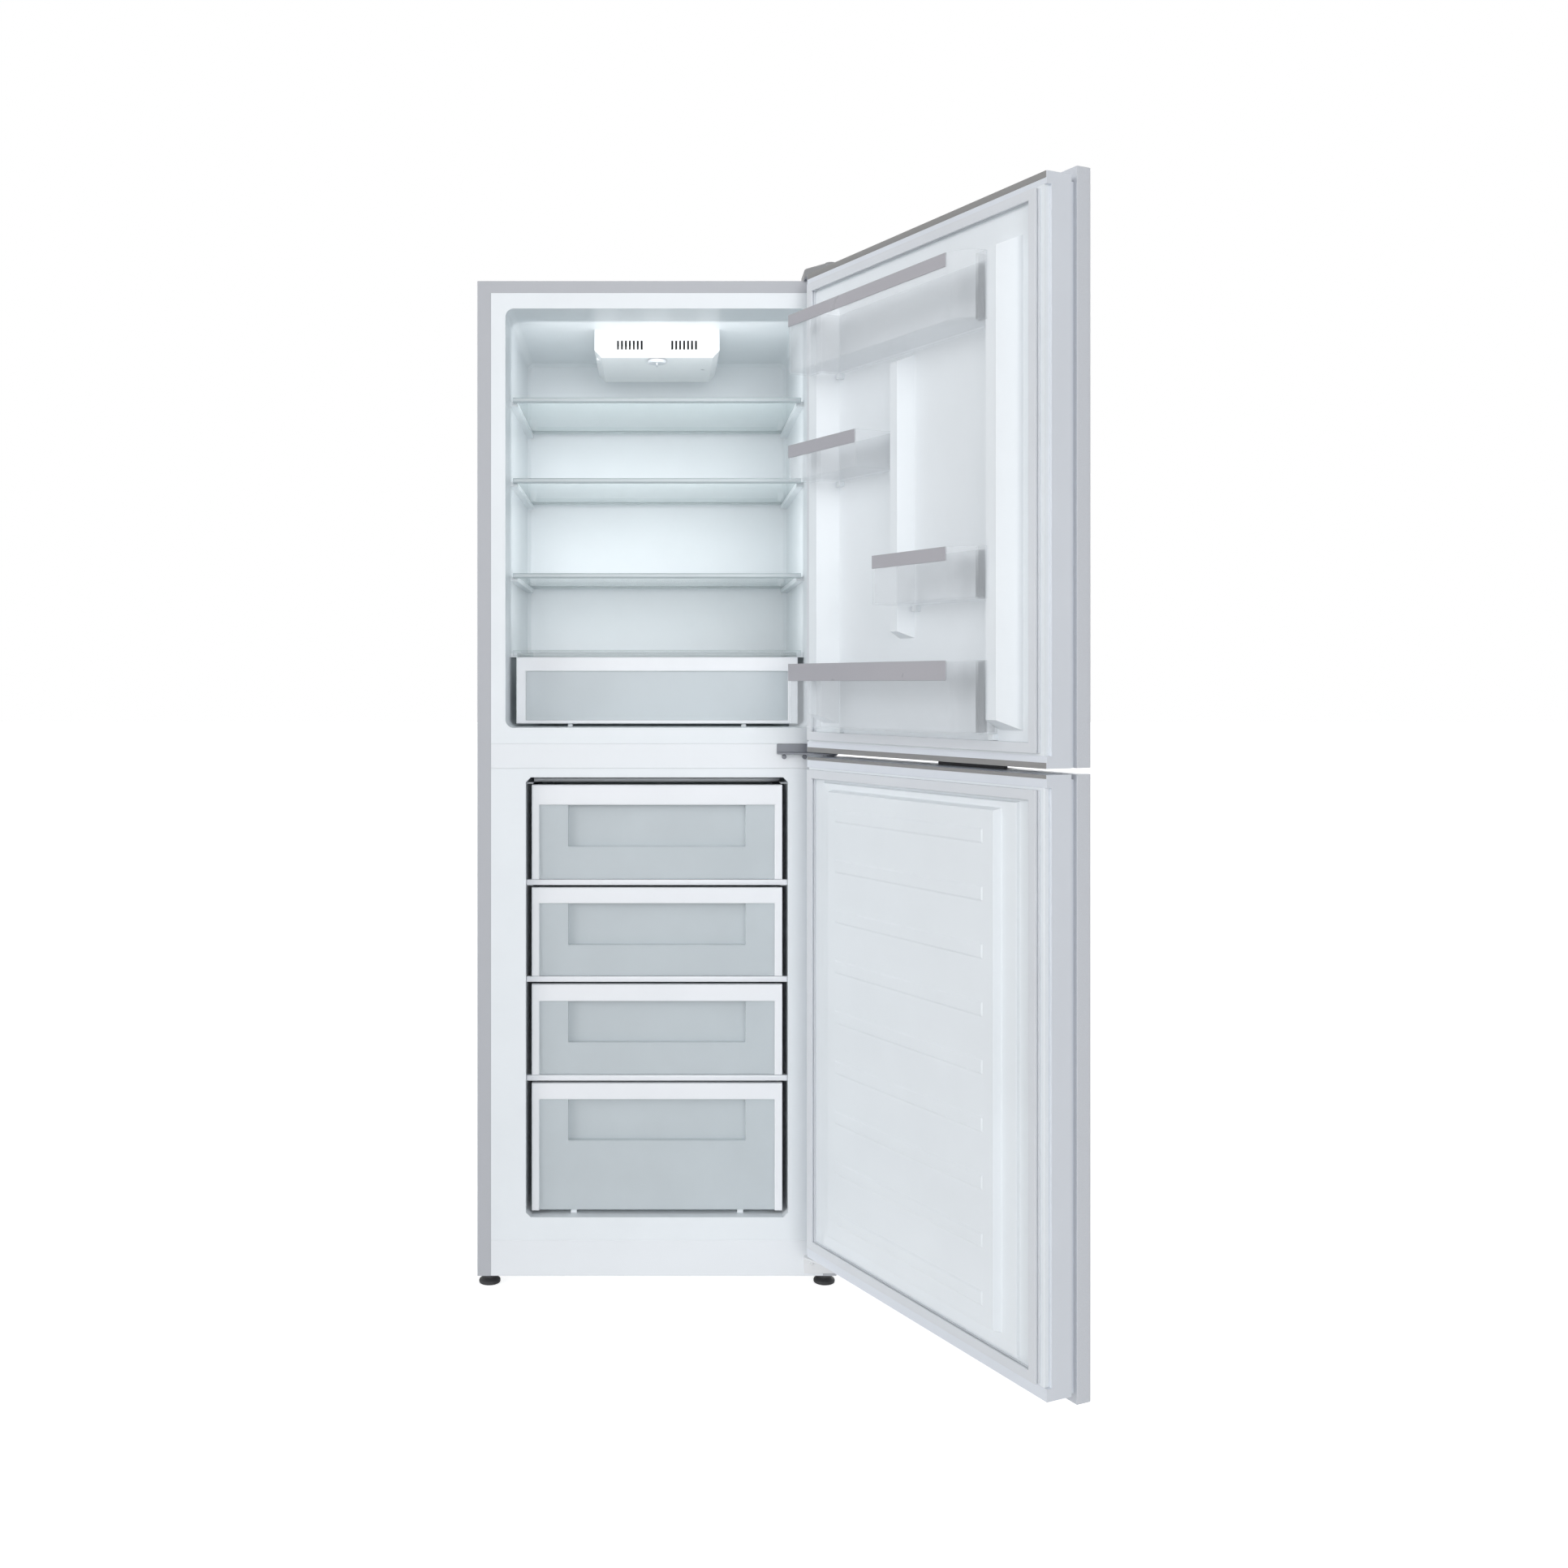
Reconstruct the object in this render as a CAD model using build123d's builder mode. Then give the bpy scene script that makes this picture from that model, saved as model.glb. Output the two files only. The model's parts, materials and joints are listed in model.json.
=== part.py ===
from build123d import *

# Bottom freezer refrigerator, free standing, with two right-hinged doors shown open.
# Origin: on the floor, under the middle of the front left foot.
# X to the right as seen from the front, Y towards the back, Z up. Millimetres, degrees.
# The pieces are drawn about the cabinet's middle plane, from its front face at Y = 0, and
# finish() moves each of them to the origin.

import math
import os

os.makedirs("parts", exist_ok=True)

# ---------------------------------------------------------------- driving dimensions

# cabinet
cabinet_width = 600.0
ground_clearance = 17.0
sheet = 1.0  # outer steel
hem = 2.0  # folded front flange, and everything that lies flush with it
side_flange = 23.0
top_flange = 20.0
base_sheet = 1.5
liner_wall = 2.0
floor_insulation = 94.5
back_insulation = 56.0
back_recess = 1.0  # the back panel lies this far inside the sides' rear edge
freezer_side_wall = 81.0
fridge_side_wall = 47.0
divider = 82.5  # freezer ceiling to fridge floor
top_wall = 46.0
fridge_height = 700.0
fridge_depth = 470.0
freezer_depth = 455.0
cavity_corner = 14.0
cavity_back_radius = 11.0  # the round that the chamfer along the cavity's back touches
kick_height = 60.0
crossrail_height = 42.0
crossrail_below_floor = 26.0  # crossrail's top edge below the fridge floor

# compressor bay
bay_depth = 184.0
bay_height = 222.0
step_insulation = 48.0

# fits and clearances
seat_gap = 0.3
pin_gap = 0.05
weld_gap = 0.05

# freezer drawers, from the bottom up
drawer_heights = (214.0, 152.5, 149.0, 159.0)
drawer_bands = (27.5, 28.5, 27.0, 34.0)
tier_gap = 13.5
runner_height = 6.0
drawer_side_gap = 8.5
drawer_front = 15.0
drawer_back_gap = 32.0
bin_wall = 2.5
band_thickness = 6.0
drawer_stile = 13.0  # the handle's frame runs down both sides of the front
bin_inset = 7.5  # tub sides inside the drawer's front

# evaporator shelves
coil_diameter = 8.0
coil_pitch = 68.0
coil_wire = 2.0
coil_wires = 9
coil_rib = 10.0
coil_side_gap = 7.0

# glass shelves and crisper
shelf_heights = (565.0, 426.5, 263.0)  # glass tops above the fridge floor
shelf_glass = 4.0
shelf_front = 80.0
shelf_side_gap = 5.4
shelf_back_gap = 15.0
shelf_trim_height = 8.4
shelf_trim_depth = 12.0
ledge_width = 12.0
ledge_height = 8.0
crisper_height = 115.0
crisper_foot = 5.0
crisper_front = 85.0
crisper_side_gap = 10.5
crisper_tub_inset = 17.0
crisper_depth = 330.0
crisper_band = 25.0
crisper_stile = 17.0
crisper_rail = 6.0
crisper_cover_gap = 7.5

# lamp housing on the fridge ceiling
housing_width = 221.0
housing_drop = 49.0
housing_front = 160.0
housing_depth = 235.0
housing_wall = 2.0
louvre_width = 3.5
louvre_pitch = 7.0
louvre_height = 16.0
louvre_count = 7
dial_radius = 17.0
dial_thickness = 7.0
dial_shaft = 3.0

# doors
door_open = 116.0
pin_inset = 15.0  # hinge pin from the cabinet's side
pin_forward = 45.0  # hinge pin in front of the cabinet
pin_radius = 4.0
pin_depth = 14.0
door_gap = 8.0
door_panel_depth = 26.0
door_groove = 9.0
door_groove_depth = 7.0
door_frame_depth = 33.0
door_liner_rise = 8.2
door_bow = 4.0
door_side_member = 12.0
door_lip = 17.0
door_panel_overlap = 13.0  # the steel front reaches past the frame, top and bottom
door_bottom = 66.0
gasket_height = 9.0
gasket_width = 14.0
gasket_inset = 13.0
gasket_from_lip = 3.0
dyke_height = 34.3
dyke_base = 50.0
dyke_taper = 22.0
dyke_clear = 2.0
rib_height = 24.3
rib_base = 38.0
rib_middle = 269.0  # along the door from the hinge pin
lug_reach = 8.5
lug_height = 8.0
plug_step = 5.3
plug_step_width = 32.0
plug_rise = 12.0
plug_taper = 15.0
plug_clear = 6.0
emboss_count = 9
emboss_height = 20.0
emboss_rise = 1.5
grip_start = 283.0
grip_width = 155.0
grip_height = 30.0
grip_lip = 6.0

# door balconies: start and end along the door, bottom above the fridge floor, height, band
balcony_reach = 113.0  # front of the bands from the hinge pin's plane
balcony_wall = 2.5
balcony_band_thickness = 1.5
balcony_corner = 36.0
balcony_lift = 30.0
balcony_table = (
    (54.0, 505.0, 563.0, 93.0, 19.0),
    (54.0, 247.0, 393.0, 57.0, 20.0),
    (291.0, 505.0, 188.0, 71.0, 19.0),
    (54.0, 505.0, 5.0, 100.0, 27.0),
)

# hinges
hinge_plate = 3.0
hinge_leg = 3.0
hinge_reach = 12.0  # plate around the pin
hinge_cover_height = 18.0

# feet and rollers
foot_radius = 18.0
foot_inset = 19.0
foot_setback = 20.0
foot_stud = 4.0
foot_height = 15.0
roller_radius = 15.0
roller_width = 14.0
roller_axle = 3.0
roller_inset = 30.0
roller_from_back = 35.0

# condenser
condenser_half_width = 225.0
condenser_low = 320.0
condenser_runs = 13
condenser_pitch = 80.0
condenser_tube = 5.0
condenser_wire = 1.6
condenser_wires = 20
condenser_standoff = 12.0

# compressor
compressor_x = -30.0
compressor_length = 196.0
compressor_width = 150.0
compressor_height = 146.0
grommet_height = 10.5
shell_sides = 16
drier_inset = 35.0  # the filter drier, inside the pipe that comes down from the condenser
bend = 12.0
bend_chords = 2
tray_length = 190.0
tray_width = 136.0
tray_height = 24.0
tray_wall = 2.0
pipe_diameter = 6.0

# ---------------------------------------------------------------- places worked out from them

half = cabinet_width / 2
foot_x = half - foot_inset
fridge_half = half - fridge_side_wall
freezer_half = half - freezer_side_wall
flange_half = half - side_flange
base_top = ground_clearance + base_sheet
kick_top = ground_clearance + kick_height
freezer_floor = base_top + floor_insulation + liner_wall
freezer_top = freezer_floor + runner_height + sum(drawer_heights) + tier_gap * len(drawer_heights)
fridge_floor = freezer_top + divider
fridge_ceiling = fridge_floor + fridge_height
cabinet_top = fridge_ceiling + top_wall
crossrail_top = fridge_floor - crossrail_below_floor
crossrail_bottom = crossrail_top - crossrail_height
panel_front = fridge_depth + liner_wall + back_insulation
panel_back = panel_front + sheet
cabinet_depth = panel_back + back_recess
roller_y = cabinet_depth - roller_from_back
bay_front = panel_back - bay_depth
bay_top = base_top + bay_height
step_depth = bay_front - step_insulation
step_top = bay_top + step_insulation

pin_x = half - pin_inset
pin_y = -pin_forward
door_plane = Plane(
    origin=(pin_x, pin_y, 0),
    x_dir=(-math.cos(math.radians(door_open)), -math.sin(math.radians(door_open)), 0),
    z_dir=(0, 0, 1),
)
# In the door's own plane u runs from the pin to the free edge and v towards the room.
door_hinge_edge = -pin_inset
door_free_edge = cabinet_width - pin_inset
gasket_face = -(pin_forward - seat_gap)
liner_face = gasket_face + gasket_height
liner_seat = liner_face + door_liner_rise
groove_back = liner_seat + door_frame_depth
panel_seat = groove_back + door_groove
panel_edge = panel_seat + door_panel_depth
doors_middle = crossrail_top - 16.0
upper_bottom = doors_middle + door_gap / 2
upper_top = cabinet_top - sheet
lower_bottom = door_bottom
lower_top = doors_middle - door_gap / 2


# ---------------------------------------------------------------- helpers


def slab(x0, x1, y0, y1, z0, z1, mode=Mode.ADD):
    """A box between two corners, in the part being built."""
    with Locations(((x0 + x1) / 2, (y0 + y1) / 2, (z0 + z1) / 2)):
        Box(x1 - x0, y1 - y0, z1 - z0, mode=mode)


def door_slab(u0, u1, v0, v1, z0, z1, mode=Mode.ADD):
    """A box between two corners in the open door's own plane."""
    centre = ((u0 + u1) / 2, (v0 + v1) / 2, (z0 + z1) / 2)
    with Locations(door_plane.location * Location(centre)):
        Box(u1 - u0, v1 - v0, z1 - z0, mode=mode)


def front_plane(y):
    """A plane facing the room, with X to the right and Z up in its sketches."""
    return Plane(origin=(0, y, 0), x_dir=(1, 0, 0), z_dir=(0, -1, 0))


def side_plane(x):
    """A plane facing +X, with Y and Z in its sketches."""
    return Plane(origin=(x, 0, 0), x_dir=(0, 1, 0), z_dir=(1, 0, 0))


def inner_plane(v):
    """A plane on the door that faces into the cabinet, with u and Z in its sketches."""
    return Plane(
        origin=door_plane.from_local_coords(Vector(0, v, 0)),
        x_dir=door_plane.x_dir,
        z_dir=door_plane.y_dir * -1,
    )


def upright(u, v, z):
    """Where a vertical pin or bore of the open door stands."""
    return door_plane.location * Location((u, v, z))


def finish(builder, name):
    """Move a finished piece to the part's origin, label it and write it."""
    builder.part = builder.part.moved(Location((foot_x, -foot_setback, 0)))
    builder.part.label = name
    export_step(builder.part, f"parts/{name}.step")


def cavity_block(half_width, low, high, depth, grow, rounded):
    """The space inside a moulded liner, grown by the liner's wall for its outside."""
    share = 2 - math.sqrt(2)  # a chamfer of this share of a radius touches the same round
    with BuildPart() as block:
        with BuildSketch(front_plane(0)) as mouth:
            with Locations((0, (low + high) / 2)):
                Rectangle(2 * (half_width + grow), high - low + 2 * grow)
            if rounded:
                fillet(mouth.vertices(), cavity_corner + grow)
            else:
                chamfer(mouth.vertices(), share * (cavity_corner + grow))
        extrude(amount=-(depth + grow))
        back_edges = block.faces().sort_by(Axis.Y)[-1].edges()
        chamfer(back_edges, share * (cavity_back_radius + grow))
    return block.part


def freezer_block(grow):
    """The freezer's space: full depth above the step, shorter beside the compressor bay."""
    with BuildPart() as block:
        add(cavity_block(freezer_half, step_top, freezer_top, freezer_depth, grow, False))
        add(cavity_block(freezer_half, freezer_floor, freezer_top, step_depth, grow, False))
    return block.part


def tube(points, radius, diameter, turned=30):
    """A six-sided tube along straight runs, with each bend made of short chords."""
    corners = [Vector(*point) for point in points]
    route = [corners[0]]
    for before, corner, after in zip(corners, corners[1:], corners[2:]):
        into = (before - corner).normalized()
        out = (after - corner).normalized()
        turn = 180 - into.get_angle(out)
        tangent = radius * math.tan(math.radians(turn / 2))
        middle = corner + (into + out).normalized() * (radius / math.cos(math.radians(turn / 2)))
        first = corner + into * tangent - middle
        last = corner + out * tangent - middle
        for step in range(bend_chords + 1):
            done = step / bend_chords
            near = math.sin(math.radians((1 - done) * turn)) / math.sin(math.radians(turn))
            far = math.sin(math.radians(done * turn)) / math.sin(math.radians(turn))
            point = middle + first * near + last * far
            if (point - route[-1]).length > 0.01:
                route.append(point)
    route.append(corners[-1])
    with BuildPart() as bent:
        with BuildLine() as centre:
            Polyline(*route)
        with BuildSketch(Plane(origin=centre.line @ 0, z_dir=centre.line % 0)):
            RegularPolygon(diameter / 2, 6, rotation=turned)
        sweep(path=centre.line, transition=Transition.RIGHT)
    return bent.part


def faceted(plane, levels, sides):
    """A turned form of flat facets; levels give each distance from the plane and its radius."""
    with BuildPart() as turned:
        for (start, radius), (end, next_radius) in zip(levels, levels[1:]):
            narrowing = (radius - next_radius) * math.cos(math.pi / sides)
            with BuildSketch(plane.offset(start)):
                RegularPolygon(radius, sides)
            extrude(amount=end - start, taper=math.degrees(math.atan2(narrowing, end - start)))
    return turned.part


def oval(length, width):
    """Corners of an oval of flat facets, shell_sides in all."""
    turns = [2 * math.pi * (side + 0.5) / shell_sides for side in range(shell_sides)]
    return [(length / 2 * math.cos(turn), width / 2 * math.sin(turn)) for turn in turns]


def serpentine(half_width, start, pitch, runs, place):
    """Corner points of a coil that runs from side to side; place puts each in the room."""
    points = []
    for run in range(runs):
        side = 1 if run % 2 else -1
        points.append(place(side * half_width, start + run * pitch))
        points.append(place(-side * half_width, start + run * pitch))
    return points


# ---------------------------------------------------------------- cabinet

fridge_space = (fridge_half, fridge_floor, fridge_ceiling, fridge_depth)
fridge_outside = cavity_block(*fridge_space, liner_wall, False)
fridge_inside = cavity_block(*fridge_space, 0, True)
freezer_outside = freezer_block(liner_wall)
freezer_inside = freezer_block(0)

with BuildPart() as cabinet_shell:
    slab(-half, half, 0, cabinet_depth, ground_clearance, cabinet_top)
    front_edges = cabinet_shell.edges().group_by(Axis.Y)[0]
    fillet(front_edges.filter_by(Axis.Z), hem * 0.75)
    inner_half = half - sheet
    slab(-inner_half, inner_half, hem, 2 * cabinet_depth, 0, cabinet_top - sheet, Mode.SUBTRACT)
    slab(-flange_half, flange_half, -hem, 2 * hem, 0, cabinet_top - top_flange, Mode.SUBTRACT)
finish(cabinet_shell, "cabinet_shell")

with BuildPart() as back_panel:
    with BuildSketch(side_plane(-inner_half)):
        with BuildLine():
            Polyline(
                (panel_front, cabinet_top - sheet),
                (panel_back, cabinet_top - sheet),
                (panel_back, bay_top),
                (bay_front, bay_top),
                (bay_front, base_top),
                (bay_front - sheet, base_top),
                (bay_front - sheet, bay_top + sheet),
                (panel_front, bay_top + sheet),
                close=True,
            )
        make_face()
    extrude(amount=2 * inner_half)
finish(back_panel, "back_panel")

nut_radius = 9.0
nut_height = 13.5
stud_top = 52.0

with BuildPart() as cabinet_insulation:
    slab(-inner_half, inner_half, hem, panel_front, base_top, cabinet_top - sheet)
    add(fridge_outside, mode=Mode.SUBTRACT)
    add(freezer_outside, mode=Mode.SUBTRACT)
    slab(
        -half, half, bay_front - sheet, cabinet_depth, 0, bay_top + sheet, Mode.SUBTRACT
    )
    with BuildSketch(Plane.XY.offset(base_top)):
        with Locations((-foot_x, foot_setback), (foot_x, foot_setback)):
            RegularPolygon(nut_radius, 6)
    extrude(amount=stud_top, mode=Mode.SUBTRACT)
finish(cabinet_insulation, "cabinet_insulation")

shelf_width = 2 * (fridge_half - shelf_side_gap)
shelf_back = fridge_depth - shelf_back_gap
crisper_top = fridge_floor + crisper_foot + crisper_height
cover_top = crisper_top + crisper_cover_gap + shelf_glass
glass_tops = [fridge_floor + height for height in shelf_heights] + [cover_top]
crisper_rib_x = 150.0

with BuildPart() as fridge_liner:
    add(fridge_outside)
    slab(
        -flange_half, flange_half, 0, hem, crossrail_top, cabinet_top - top_flange
    )
    add(fridge_inside, mode=Mode.SUBTRACT)
    for glass_top in glass_tops:
        ledge_top = glass_top - shelf_glass - seat_gap
        for side in (-1, 1):
            edge = sorted((side * (fridge_half - ledge_width), side * (fridge_half + 1)))
            slab(
                *edge,
                shelf_front + shelf_trim_depth + 2,
                shelf_back,
                ledge_top - ledge_height,
                ledge_top,
            )
    for x in (-crisper_rib_x, crisper_rib_x):
        slab(
            x - 4,
            x + 4,
            crisper_front + 10,
            crisper_front + crisper_depth,
            fridge_floor - 1,
            fridge_floor + crisper_foot - seat_gap,
        )
finish(fridge_liner, "fridge_liner")

drawer_bottoms = []
drawer_bottom = freezer_floor + runner_height
for height in drawer_heights:
    drawer_bottoms.append(drawer_bottom)
    drawer_bottom += height + tier_gap
coil_levels = drawer_bottoms[1:] + [freezer_top]
coil_top_offset = seat_gap + coil_wire + weld_gap
coil_half = freezer_half - coil_side_gap - coil_diameter / 2
coil_start = drawer_front + 30
coil_runs = int((freezer_depth - 20 - coil_start) // coil_pitch) + 1
coil_back = coil_start + (coil_runs - 1) * coil_pitch
runner_x = 140.0

with BuildPart() as freezer_liner:
    add(freezer_outside)
    slab(-flange_half, flange_half, 0, hem, kick_top, crossrail_bottom)
    add(freezer_inside, mode=Mode.SUBTRACT)
    for x in (-runner_x, runner_x):
        slab(
            x - 5,
            x + 5,
            drawer_front + 10,
            step_depth - drawer_back_gap / 2,
            freezer_floor - 1,
            freezer_floor + runner_height - seat_gap,
        )
    for level in coil_levels:
        rib_top = level - coil_top_offset - coil_diameter - seat_gap
        for side in (-1, 1):
            edge = sorted((side * (freezer_half - coil_rib), side * (freezer_half + 1)))
            slab(*edge, coil_start - 10, coil_back, rib_top - 2, rib_top)
finish(freezer_liner, "freezer_liner")

with BuildPart() as centre_crossrail:
    slab(-flange_half, flange_half, 0, hem, crossrail_bottom, crossrail_top)
    chamfer(centre_crossrail.edges().group_by(Axis.Y)[0].filter_by(Axis.X), 0.8)
finish(centre_crossrail, "centre_crossrail")

with BuildPart() as kick_plate:
    slab(-flange_half, flange_half, 0, hem, ground_clearance, kick_top)
    chamfer(kick_plate.edges().group_by(Axis.Y)[0].filter_by(Axis.X), 0.8)
finish(kick_plate, "kick_plate")

roller_x = half - roller_inset
roller_z = roller_radius
ear = 1.5
ear_gap = 0.5

with BuildPart() as base_frame:
    slab(-inner_half, inner_half, hem, panel_back, ground_clearance, base_top)
    for side in (-1, 1):
        x = side * roller_x
        slot_half = roller_width / 2 + ear_gap
        slab(
            x - slot_half - ear,
            x + slot_half + ear,
            roller_y - roller_radius - 3,
            roller_y + roller_radius + 3,
            roller_z - 7,
            roller_z + 16,
        )
        slab(
            x - slot_half,
            x + slot_half,
            roller_y - roller_radius - 4,
            roller_y + roller_radius + 4,
            0,
            roller_z + 17,
            Mode.SUBTRACT,
        )
        with Locations(Location((x, roller_y, roller_z), (0, 90, 0))):
            Cylinder(roller_axle, 2 * (slot_half + ear))
    with BuildSketch(Plane.XY.offset(base_top)):
        with Locations((-foot_x, foot_setback), (foot_x, foot_setback)):
            RegularPolygon(nut_radius, 6)
    extrude(amount=nut_height)
    with Locations((-foot_x, foot_setback, 0), (foot_x, foot_setback, 0)):
        Cylinder(
            foot_stud + pin_gap,
            cabinet_depth,
            align=(Align.CENTER, Align.CENTER, Align.MIN),
            mode=Mode.SUBTRACT,
        )
finish(base_frame, "base_frame")

for name, side in (("front_foot_left", -1), ("front_foot_right", 1)):
    with BuildPart() as foot:
        foot_plane = Plane(origin=(side * foot_x, foot_setback, 0), x_dir=(1, 0, 0), z_dir=(0, 0, 1))
        foot_levels = (
            (0, foot_radius),
            (6, foot_radius),
            (10, foot_radius - 6),
            (foot_height, foot_radius - 7),
        )
        add(faceted(foot_plane, foot_levels, 12))
        with BuildSketch(foot_plane.offset(foot_height)):
            Circle(foot_stud)
        extrude(amount=stud_top - foot_height)
    finish(foot, name)

for name, side in (("rear_roller_left", -1), ("rear_roller_right", 1)):
    with BuildPart() as roller:
        with BuildSketch(side_plane(side * roller_x - roller_width / 2)):
            with Locations((roller_y, roller_z)):
                RegularPolygon(roller_radius, 24)
                Circle(roller_axle + pin_gap, mode=Mode.SUBTRACT)
        extrude(amount=roller_width)
    finish(roller, name)

# ---------------------------------------------------------------- freezer evaporator shelves

trim_y = drawer_front + 1
riser_half = 3.0  # the pipe that joins the levels
riser_y = coil_back + coil_diameter / 2 + seat_gap

with BuildPart() as freezer_evaporator:
    for level in coil_levels:
        tube_z = level - coil_top_offset - coil_diameter / 2
        corners = serpentine(
            coil_half, coil_start, coil_pitch, coil_runs, lambda x, y: (x, y, tube_z)
        )
        add(tube(corners, coil_pitch / 2, coil_diameter))
        wire_span = 2 * (coil_half - coil_pitch / 2)
        for index in range(coil_wires):
            x = -wire_span / 2 + index * wire_span / (coil_wires - 1)
            wire_top = level - seat_gap
            slab(
                x - coil_wire / 2,
                x + coil_wire / 2,
                coil_start - 20,
                coil_back + 5,
                wire_top - coil_wire,
                wire_top,
            )
    for level in coil_levels[:-1]:
        slab(
            -freezer_half + seat_gap,
            freezer_half - seat_gap,
            trim_y,
            coil_start - 20 - weld_gap,
            level - seat_gap - 9,
            level - seat_gap,
        )
    for low, high in zip(coil_levels[:-1], coil_levels[1:]):
        riser_x = -coil_half if coil_runs % 2 == 0 else coil_half
        slab(
            riser_x - riser_half,
            riser_x + riser_half,
            riser_y,
            riser_y + 2 * riser_half,
            low - coil_top_offset - coil_diameter,
            high - coil_top_offset,
        )
finish(freezer_evaporator, "freezer_evaporator")

# ---------------------------------------------------------------- cooling circuit

condenser_y = panel_back + condenser_standoff
condenser_high = condenser_low + (condenser_runs - 1) * condenser_pitch
wire_low = condenser_low - 25
wire_high = condenser_high + 25

with BuildPart() as condenser:
    corners = serpentine(
        condenser_half_width,
        condenser_low,
        condenser_pitch,
        condenser_runs,
        lambda x, z: (x, condenser_y, z),
    )
    add(tube(corners, condenser_pitch / 2, condenser_tube, 0))
    wire_span = 2 * (condenser_half_width - condenser_pitch / 2)
    flat = condenser_tube / 2 * math.cos(math.pi / 6) + weld_gap
    for index in range(condenser_wires):
        x = -wire_span / 2 + index * wire_span / (condenser_wires - 1)
        side = 1 if index % 2 else -1
        edge = sorted((condenser_y + side * flat, condenser_y + side * (flat + condenser_wire)))
        slab(
            x - condenser_wire / 2,
            x + condenser_wire / 2,
            *edge,
            wire_low,
            wire_high,
        )
    for x in (-wire_span / 2 - 14, wire_span / 2 + 14):
        for z in (wire_low + 90, wire_high - 130):
            slab(x - 8, x + 8, panel_back, condenser_y - flat, z, z + 2)
            slab(x - 8, x + 8, panel_back, panel_back + 1.5, z, z + 22)
finish(condenser, "condenser")

compressor_y = (bay_front + panel_back) / 2
leg_z = base_top + grommet_height
shell_bottom = leg_z + 2
shell_top = shell_bottom + compressor_height
grommet_x = 82.0
grommet_y = 56.0
grommet_neck = 6.5
stub_length = 16.0
discharge_at = (-compressor_length / 2, -18.0, 82.0)
suction_at = (-compressor_length / 2, 24.0, 93.0)
weld_height = compressor_height * 0.45
lower_rounding = 22.0
upper_rounding = 38.0
dome_slopes = ((0.5, 15), (0.32, 42), (0.18, 68))  # shares of the rounding's height, tapers

with BuildPart() as compressor:
    compressor_spot = Plane(origin=(compressor_x, compressor_y, shell_bottom))
    with BuildSketch(compressor_spot.offset(lower_rounding)):
        Polygon(*oval(compressor_length - 6, compressor_width - 6))
    extrude(amount=compressor_height - lower_rounding - upper_rounding)
    for share, slope in dome_slopes:
        dome = compressor.faces().sort_by(Axis.Z)[-1]
        extrude(dome, amount=share * upper_rounding, taper=slope)
    for share, slope in dome_slopes:
        dish = compressor.faces().sort_by(Axis.Z)[0]
        extrude(dish, amount=share * lower_rounding, taper=slope)
    with BuildSketch(compressor_spot.offset(weld_height)):
        Polygon(*oval(compressor_length, compressor_width))
    extrude(amount=5)
    with BuildSketch(Plane.XY.offset(leg_z)) as legs:
        with Locations((compressor_x, compressor_y)):
            Rectangle(2 * grommet_x + 26, 2 * grommet_y + 26)
        chamfer(legs.vertices(), 9)
        with Locations((compressor_x, compressor_y)):
            with GridLocations(2 * grommet_x, 2 * grommet_y, 2, 2):
                RegularPolygon(grommet_neck + seat_gap, 8, mode=Mode.SUBTRACT)
    extrude(amount=3)
    with BuildSketch(side_plane(compressor_x + compressor_length / 2 - 20)) as relay_cover:
        with Locations((compressor_y, shell_bottom + 70)):
            Rectangle(62, 66)
        chamfer(relay_cover.vertices(), 5)
    extrude(amount=48)
    for dx, dy, dz in (discharge_at, suction_at):
        with BuildSketch(side_plane(compressor_x + dx - stub_length)):
            with Locations((compressor_y + dy, shell_bottom + dz)):
                RegularPolygon(pipe_diameter / 2 + 1, 8)
        extrude(amount=40)
    for radius, rise in ((11, grommet_height - 0.1), (grommet_neck, 15)):
        with BuildSketch(Plane.XY.offset(base_top)):
            with Locations((compressor_x, compressor_y)):
                with GridLocations(2 * grommet_x, 2 * grommet_y, 2, 2):
                    RegularPolygon(radius, 8)
        extrude(amount=rise)
finish(compressor, "compressor")

with BuildPart() as evaporating_tray:
    for inset, mode in ((0, Mode.ADD), (tray_wall, Mode.SUBTRACT)):
        with BuildSketch(Plane.XY.offset(shell_top + inset)) as tray_floor:
            with Locations((compressor_x, compressor_y)):
                Rectangle(tray_length - 2 * inset, tray_width - 2 * inset)
            chamfer(tray_floor.vertices(), 12 - inset)
        extrude(amount=tray_height, taper=-4, mode=mode)
finish(evaporating_tray, "evaporating_tray")

discharge = (
    compressor_x + discharge_at[0] - stub_length,
    compressor_y + discharge_at[1],
    shell_bottom + discharge_at[2],
)
suction = (
    compressor_x + suction_at[0] - stub_length,
    compressor_y + suction_at[1],
    shell_bottom + suction_at[2],
)
coil_out = condenser_half_width + 22
drier_x = coil_out - drier_inset
drier_y = panel_back - 24
drier_top = bay_top - 45
drier_bottom = drier_top - 72

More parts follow.
